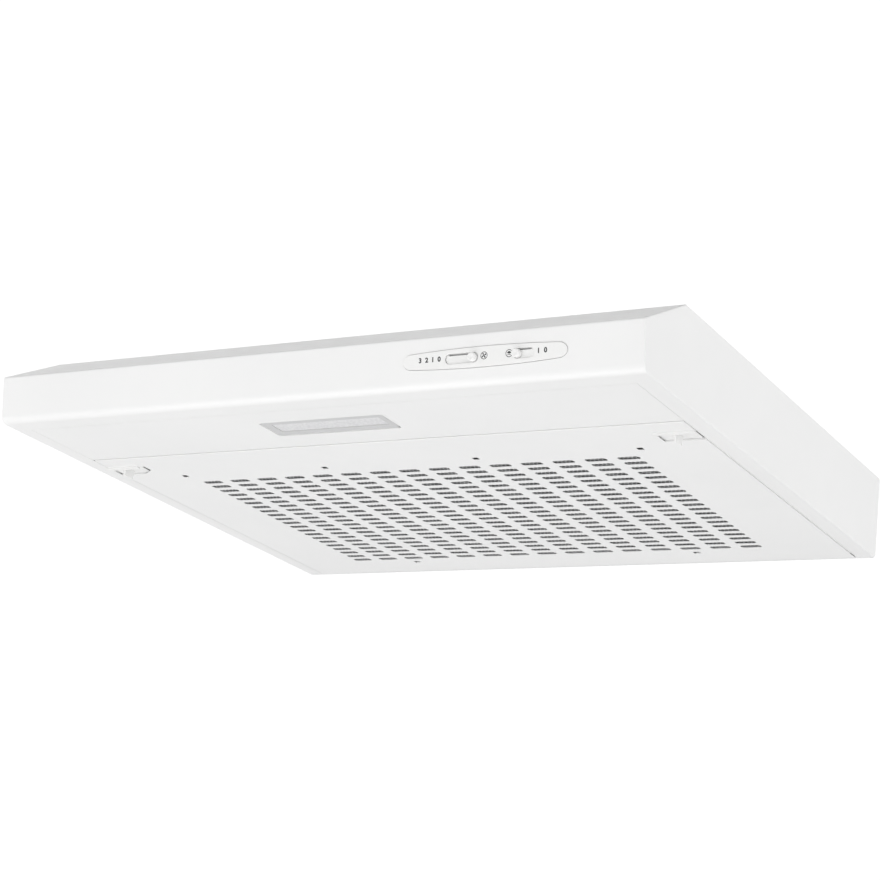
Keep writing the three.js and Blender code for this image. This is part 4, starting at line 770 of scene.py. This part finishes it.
def grille():
    """The hinged panel: its sheet, the folds round its edges, the hinge ears and the clips."""
    front, low = PANEL_SPLIT_Y + GAP, -GRILLE_DROP
    sheet = plate(grille_loops(), low, low + THIN, 0.1)
    fold = run_x(sheet_section([(front, 12), (front, low, FOLD), (front + FOLD + 0.4, low)], THIN),
                 GRILLE_LEFT, GRILLE_RIGHT)
    rear_edge = run_x(sheet_section([(GRILLE_REAR_Y - FOLD - 0.4, low), (GRILLE_REAR_Y, low, FOLD),
                                     (GRILLE_REAR_Y, 3)], THIN), -245, 245)
    rear_ends = [block(x0, x1, GRILLE_REAR_Y - FOLD - 0.3, GRILLE_REAR_Y, low, low + THIN, 0.1)
                 for x0, x1 in ((GRILLE_LEFT, -244.8), (244.8, GRILLE_RIGHT))]
    # the front fold laps under the lamp panel's edge
    lap = run_x([(front - 0.7, -0.03), (front - 0.7, low + 0.5), (front - 0.35, low - 0.02),
                 (front + 1.2, low - 0.02), (front + 1.2, -0.03)], GRILLE_LEFT, GRILLE_RIGHT, 0.05)
    # the windows' rear edges are folded up
    hems = [mirror(block(start, PANEL_SIDE - 1, LATCH_REAR - 0.25, LATCH_REAR - 0.02, low + 0.02, 1.0,
                         0.05), s)
            for s, start in ((-1, LATCH_WINDOW[-1] + LATCH_CUT_X), (1, LATCH_WINDOW[1]))]
    parts = [sheet, fold, lap, rear_edge, *rear_ends, *hems]
    for s in (-1, 1):
        side = GRILLE_LEFT + SHEET if s < 0 else GRILLE_RIGHT
        for a, b in ((front + 1, LATCH_FRONT + 1), (LATCH_REAR - 1, HINGE_Y - 8)):
            parts.append(block(side - SHEET, side, a, b, low + 0.3, 8, 0.12))
        ear = [(HINGE_Y - EYE_R, low + 0.5)]
        ear += [(HINGE_Y + EYE_R * math.cos(a), HINGE_Z + EYE_R * math.sin(a))
                for a in (math.pi * (1 - k / 16) for k in range(17))]
        ear += [(HINGE_Y + EYE_R, low + 0.5)]
        eye = circle(HINGE_Y, HINGE_Z, PIN_R + GAP, 24)
        parts.append(mirror(plate([ear, eye], EAR_X - 1, EAR_X + 1, 0.12, 1, ALONG_X), s))
    for x, y in CLIPS_FRONT:
        parts += clip_hook(x, y, 1)
    for x, y in CLIPS_REAR:
        parts += clip_hook(x, y, -1)
    piece("grille", parts, "grille", "white_paint", replaces=["grille_panel"])


grille()

# ------------------------------------------------------------------ grease filter


def mesh_layer(long_way, short_way, z, width, thick, lift):
    """Expanded metal: zigzag strands whose neighbours meet point to point."""
    bm = bmesh.new()
    inset = 2.0
    x0, x1 = -FILTER_X + inset, FILTER_X - inset
    y0, y1 = FILTER_FRONT + inset, FILTER_REAR - inset
    rows = int((y1 - y0) / short_way)
    steps = int((x1 - x0) / (long_way / 2))
    for row in range(rows):
        y = y0 + (row + 0.5) * short_way
        last = None
        for k in range(steps + 1):
            up = 1 if (k + row) % 2 else -1
            px, py = x0 + k * long_way / 2, y + up * (short_way / 2 - width * 0.35)
            pz = z + up * lift
            ring = [bm.verts.new((px, py + a * width / 2, pz + b * thick / 2 + a * lift * 0.6))
                    for a, b in ((-1, -1), (1, -1), (1, 1), (-1, 1))]
            if last:
                for i in range(4):
                    j = (i + 1) % 4
                    bm.faces.new((last[i], ring[i], ring[j], last[j]))
            else:
                bm.faces.new(ring[::-1])
            last = ring
        bm.faces.new(last)
    bmesh.ops.recalc_face_normals(bm, faces=bm.faces)
    mesh = bpy.data.meshes.new("strands")
    bm.to_mesh(mesh)
    bm.free()
    return mesh


def grease_filter():
    """The mat: a folded rim, a fine and a coarse layer of expanded metal, and the pad between them."""
    middle, length, width = (FILTER_FRONT + FILTER_REAR) / 2, 2 * FILTER_X, FILTER_REAR - FILTER_FRONT
    outer = rounded_rect(0, middle, length, width, 3)
    inner = rounded_rect(0, middle, length - 7, width - 7, 2)
    rim = plate([outer, inner], FILTER_LOW, FILTER_TOP, 0.35, 2)
    strands = [mesh_layer(**FINE_MESH), mesh_layer(**COARSE_MESH)]
    piece("filter_strands", [rim, *strands], "grille", "filter_mesh", replaces=["grease_filter"])
    pad = plate([rounded_rect(0, middle, length - 2, width - 2, 2)], 1.1, 2.6, 0.3)
    piece("filter_fleece", [pad], "grille", "filter_pad")


grease_filter()

# ------------------------------------------------------------------ latches


def latch(side, word):
    """A sliding bolt: a sunk face plate, a lip lapping under the panel, a thumb fin and a slider."""
    z0, inner, outer = SLIDER_LOW, LATCH_INNER, LATCH_OUTER
    front, rear = LATCH_FRONT + 0.5, LATCH_REAR - 0.5
    face_plate = block(LATCH_PLATE[side], outer, front, rear, 0.4, 1.6, 0.2)
    lip = run_x([(LIP_FRONT, LIP_HIGH), (LIP_FRONT + 0.3, LIP_LOW), (front + 0.4, LIP_LOW),
                 (front + 0.4, LIP_HIGH)], inner, LIP_OUTER, 0.1)
    wall = block(inner + 5, outer, front, front + 1.3, -2.4, 0.8, 0.1)
    stem = block(inner + 4, outer, front + 3, rear - 3, 0.8, z0 + 0.5, 0.1)
    runner = block(SPRING_END + GAP, outer, GUIDE_FRONT + 2.4, GUIDE_REAR - 2.4, z0, z0 + 2, 0.25)
    stop = block(SPRING_END + GAP, SPRING_END + 2.3, SPRING_Y - 4, SPRING_Y + 4, z0 + 0.2, 8, 0.25)
    bolt = block(outer - 8, LATCH_BOLT, LATCH_FRONT + 3, LATCH_REAR - 3, SHEET + 0.5, z0 + 2, 0.3)
    fin = plate([[(p.x, p.y) for p in bent([
        (front, 1.0), (147.0, 1.0), (146.0, -7.5, 1.0), (134.8, -7.5, 1.0), (front, 1.0)], 5)[:-1]]],
        LATCH_FIN - 1, LATCH_FIN + 1, 0.2, 2, ALONG_X)
    parts = [mirror(m, side) for m in (face_plate, lip, wall, stem, runner, stop, bolt, fin)]
    piece(f"latch_{word}_bolt", parts, f"latch_{word}", "white_plastic", replaces=[f"latch_{word}"])


latch(-1, "left")
latch(1, "right")

# ------------------------------------------------------------------ outlet collar


def collar():
    """The duct collar: a flanged tube with three beads, and a ledge inside that stops the flaps."""
    under, over, stop = 69.9, HEIGHT - SHEET - 0.4, FLAP_Z - 0.9
    o, i, top = COLLAR_OUTER, COLLAR_INNER, COLLAR_TOP
    profile = [(i, COLLAR_FOOT), (o, COLLAR_FOOT), (o, under), (o + COLLAR_FLANGE, under),
               (o + COLLAR_FLANGE, over), (o, over)]
    for z in COLLAR_BEADS:
        profile += [(o, z - 0.8), (o - 0.5, z), (o, z + 0.8)]
    ledge = i - COLLAR_LEDGE
    profile += [(o, top - 2), (o - 0.6, top), (i, top), (i, stop), (ledge, stop), (ledge, stop - 1.4),
                (i, stop - 1.4)]
    body = bpy.data.objects.new("collar", turned(profile, 0, COLLAR_Y, 96))
    # the ledge is cut back at both ends of the flaps' barrels
    passage = block(-FLAP_REACH, FLAP_REACH, COLLAR_Y - 10, COLLAR_Y + 10, stop - 4, stop + 0.2, 0.05)
    cutter = bpy.data.objects.new("passage", passage)
    bpy.context.scene.collection.objects.link(cutter)
    cut = body.modifiers.new("cut", "BOOLEAN")
    cut.operation, cut.object, cut.solver = "DIFFERENCE", cutter, "EXACT"
    mesh = evaluated(body)
    bpy.data.objects.remove(cutter)
    piece("collar", [mesh], "hood", "black_plastic", replaces=["outlet_collar"])


collar()

# ------------------------------------------------------------------ CAD nodes that stay

SLOT_OF = {part["node"]: part["material_slot"] for part in frame["record"]["subparts"]}

ROUND = ("supply_lead", "switch_lead", "lamp_lead", "motor_lead", "retaining_wire_left",
         "retaining_wire_right", "latch_spring_left", "latch_spring_right", "bulb_glass")
EDGE = {"top_panel": 0.15, "back_panel": 0.3, "fan_wheel": 0.2, "motor_capacitor": 1.2,
        "lamp_reflector": 0.2, "hinge_pin_left": 0.2, "hinge_pin_right": 0.2}
REPLACED = {"canopy_shell", "lamp_panel", "lamp_lens", "control_bezel", "fan_slider", "light_slider",
            "grille_panel", "grease_filter", "latch_left", "latch_right", "outlet_collar"}


def dress(name, obj):
    """The CAD node's own mesh, with its finish, eased edges and even shading."""
    obj.data.materials.clear()
    obj.data.materials.append(FINISHES[SLOT_OF[name]])
    weld = obj.modifiers.new("weld", "WELD")
    weld.merge_threshold = 1e-6
    if name in ROUND:
        smooth = obj.modifiers.new("round", "SUBSURF")
        smooth.levels = smooth.render_levels = 1
        obj.data.shade_smooth()
        return
    edge = obj.modifiers.new("edge", "BEVEL")
    edge.width, edge.segments = EDGE.get(name, 0.25) * MM, 2
    edge.limit_method, edge.angle_limit = "ANGLE", math.radians(40)
    edge.use_clamp_overlap = True
    obj.data.shade_smooth()
    normals = obj.modifiers.new("normals", "WEIGHTED_NORMAL")
    normals.keep_sharp = False


for node_name, node in sorted(nodes.items()):
    if node_name not in REPLACED:
        dress(node_name, node)

# ------------------------------------------------------------------ stage, world and light


def floor():
    """A plain pale floor."""
    bm = bmesh.new()
    bmesh.ops.create_grid(bm, x_segments=24, y_segments=24, size=FLOOR_HALF)
    mesh = bpy.data.meshes.new("floor")
    bm.to_mesh(mesh)
    bm.free()
    obj = bpy.data.objects.new("floor", mesh)
    obj.location = (0, 0, FLOOR_Z)
    n = Nodes("floor")
    colour = n.mix(n.span(n.noise(3.0), 0.0, 1.0), (0.86, 0.86, 0.86), (0.89, 0.89, 0.89))
    rough = n.span(n.noise(8.0), 0.6, 0.75)
    mesh.materials.append(n.finish(colour, rough, n.bump(n.noise(40.0), 0.02, 0.002)))
    bpy.context.scene.collection.objects.link(obj)


def world():
    """White up to well above the horizon, dimmer overhead."""
    made = bpy.data.worlds.new("world")
    bpy.context.scene.world = made
    made.use_nodes = True
    tree = made.node_tree
    place = tree.nodes.new("ShaderNodeTexCoord")
    split = tree.nodes.new("ShaderNodeSeparateXYZ")
    ramp = tree.nodes.new("ShaderNodeMapRange")
    for key, number in (("From Min", SKY_FROM), ("From Max", SKY_TO),
                        ("To Min", SKY_WHITE), ("To Max", SKY_DIM)):
        ramp.inputs[key].default_value = number
    tree.links.new(place.outputs["Generated"], split.inputs[0])
    tree.links.new(split.outputs["Z"], ramp.inputs["Value"])
    tree.links.new(ramp.outputs["Result"], tree.nodes["Background"].inputs["Strength"])
    tree.nodes["Background"].inputs["Color"].default_value = (1.0, 1.0, 1.0, 1.0)


def area_light(name, place, size, power):
    """A round soft light aimed at the hood."""
    data = bpy.data.lights.new(name, "AREA")
    data.shape, data.size, data.energy = "DISK", size, power
    light = bpy.data.objects.new(name, data)
    light.location = place
    light.rotation_mode = "QUATERNION"
    light.rotation_quaternion = (Vector(LIGHTS_AIM) - Vector(place)).to_track_quat("-Z", "Y")
    bpy.context.scene.collection.objects.link(light)


floor()
world()
for settings in LIGHTS:
    area_light(*settings)

bpy.context.scene.view_settings.view_transform = "Standard"
bpy.context.scene.view_settings.look = "None"
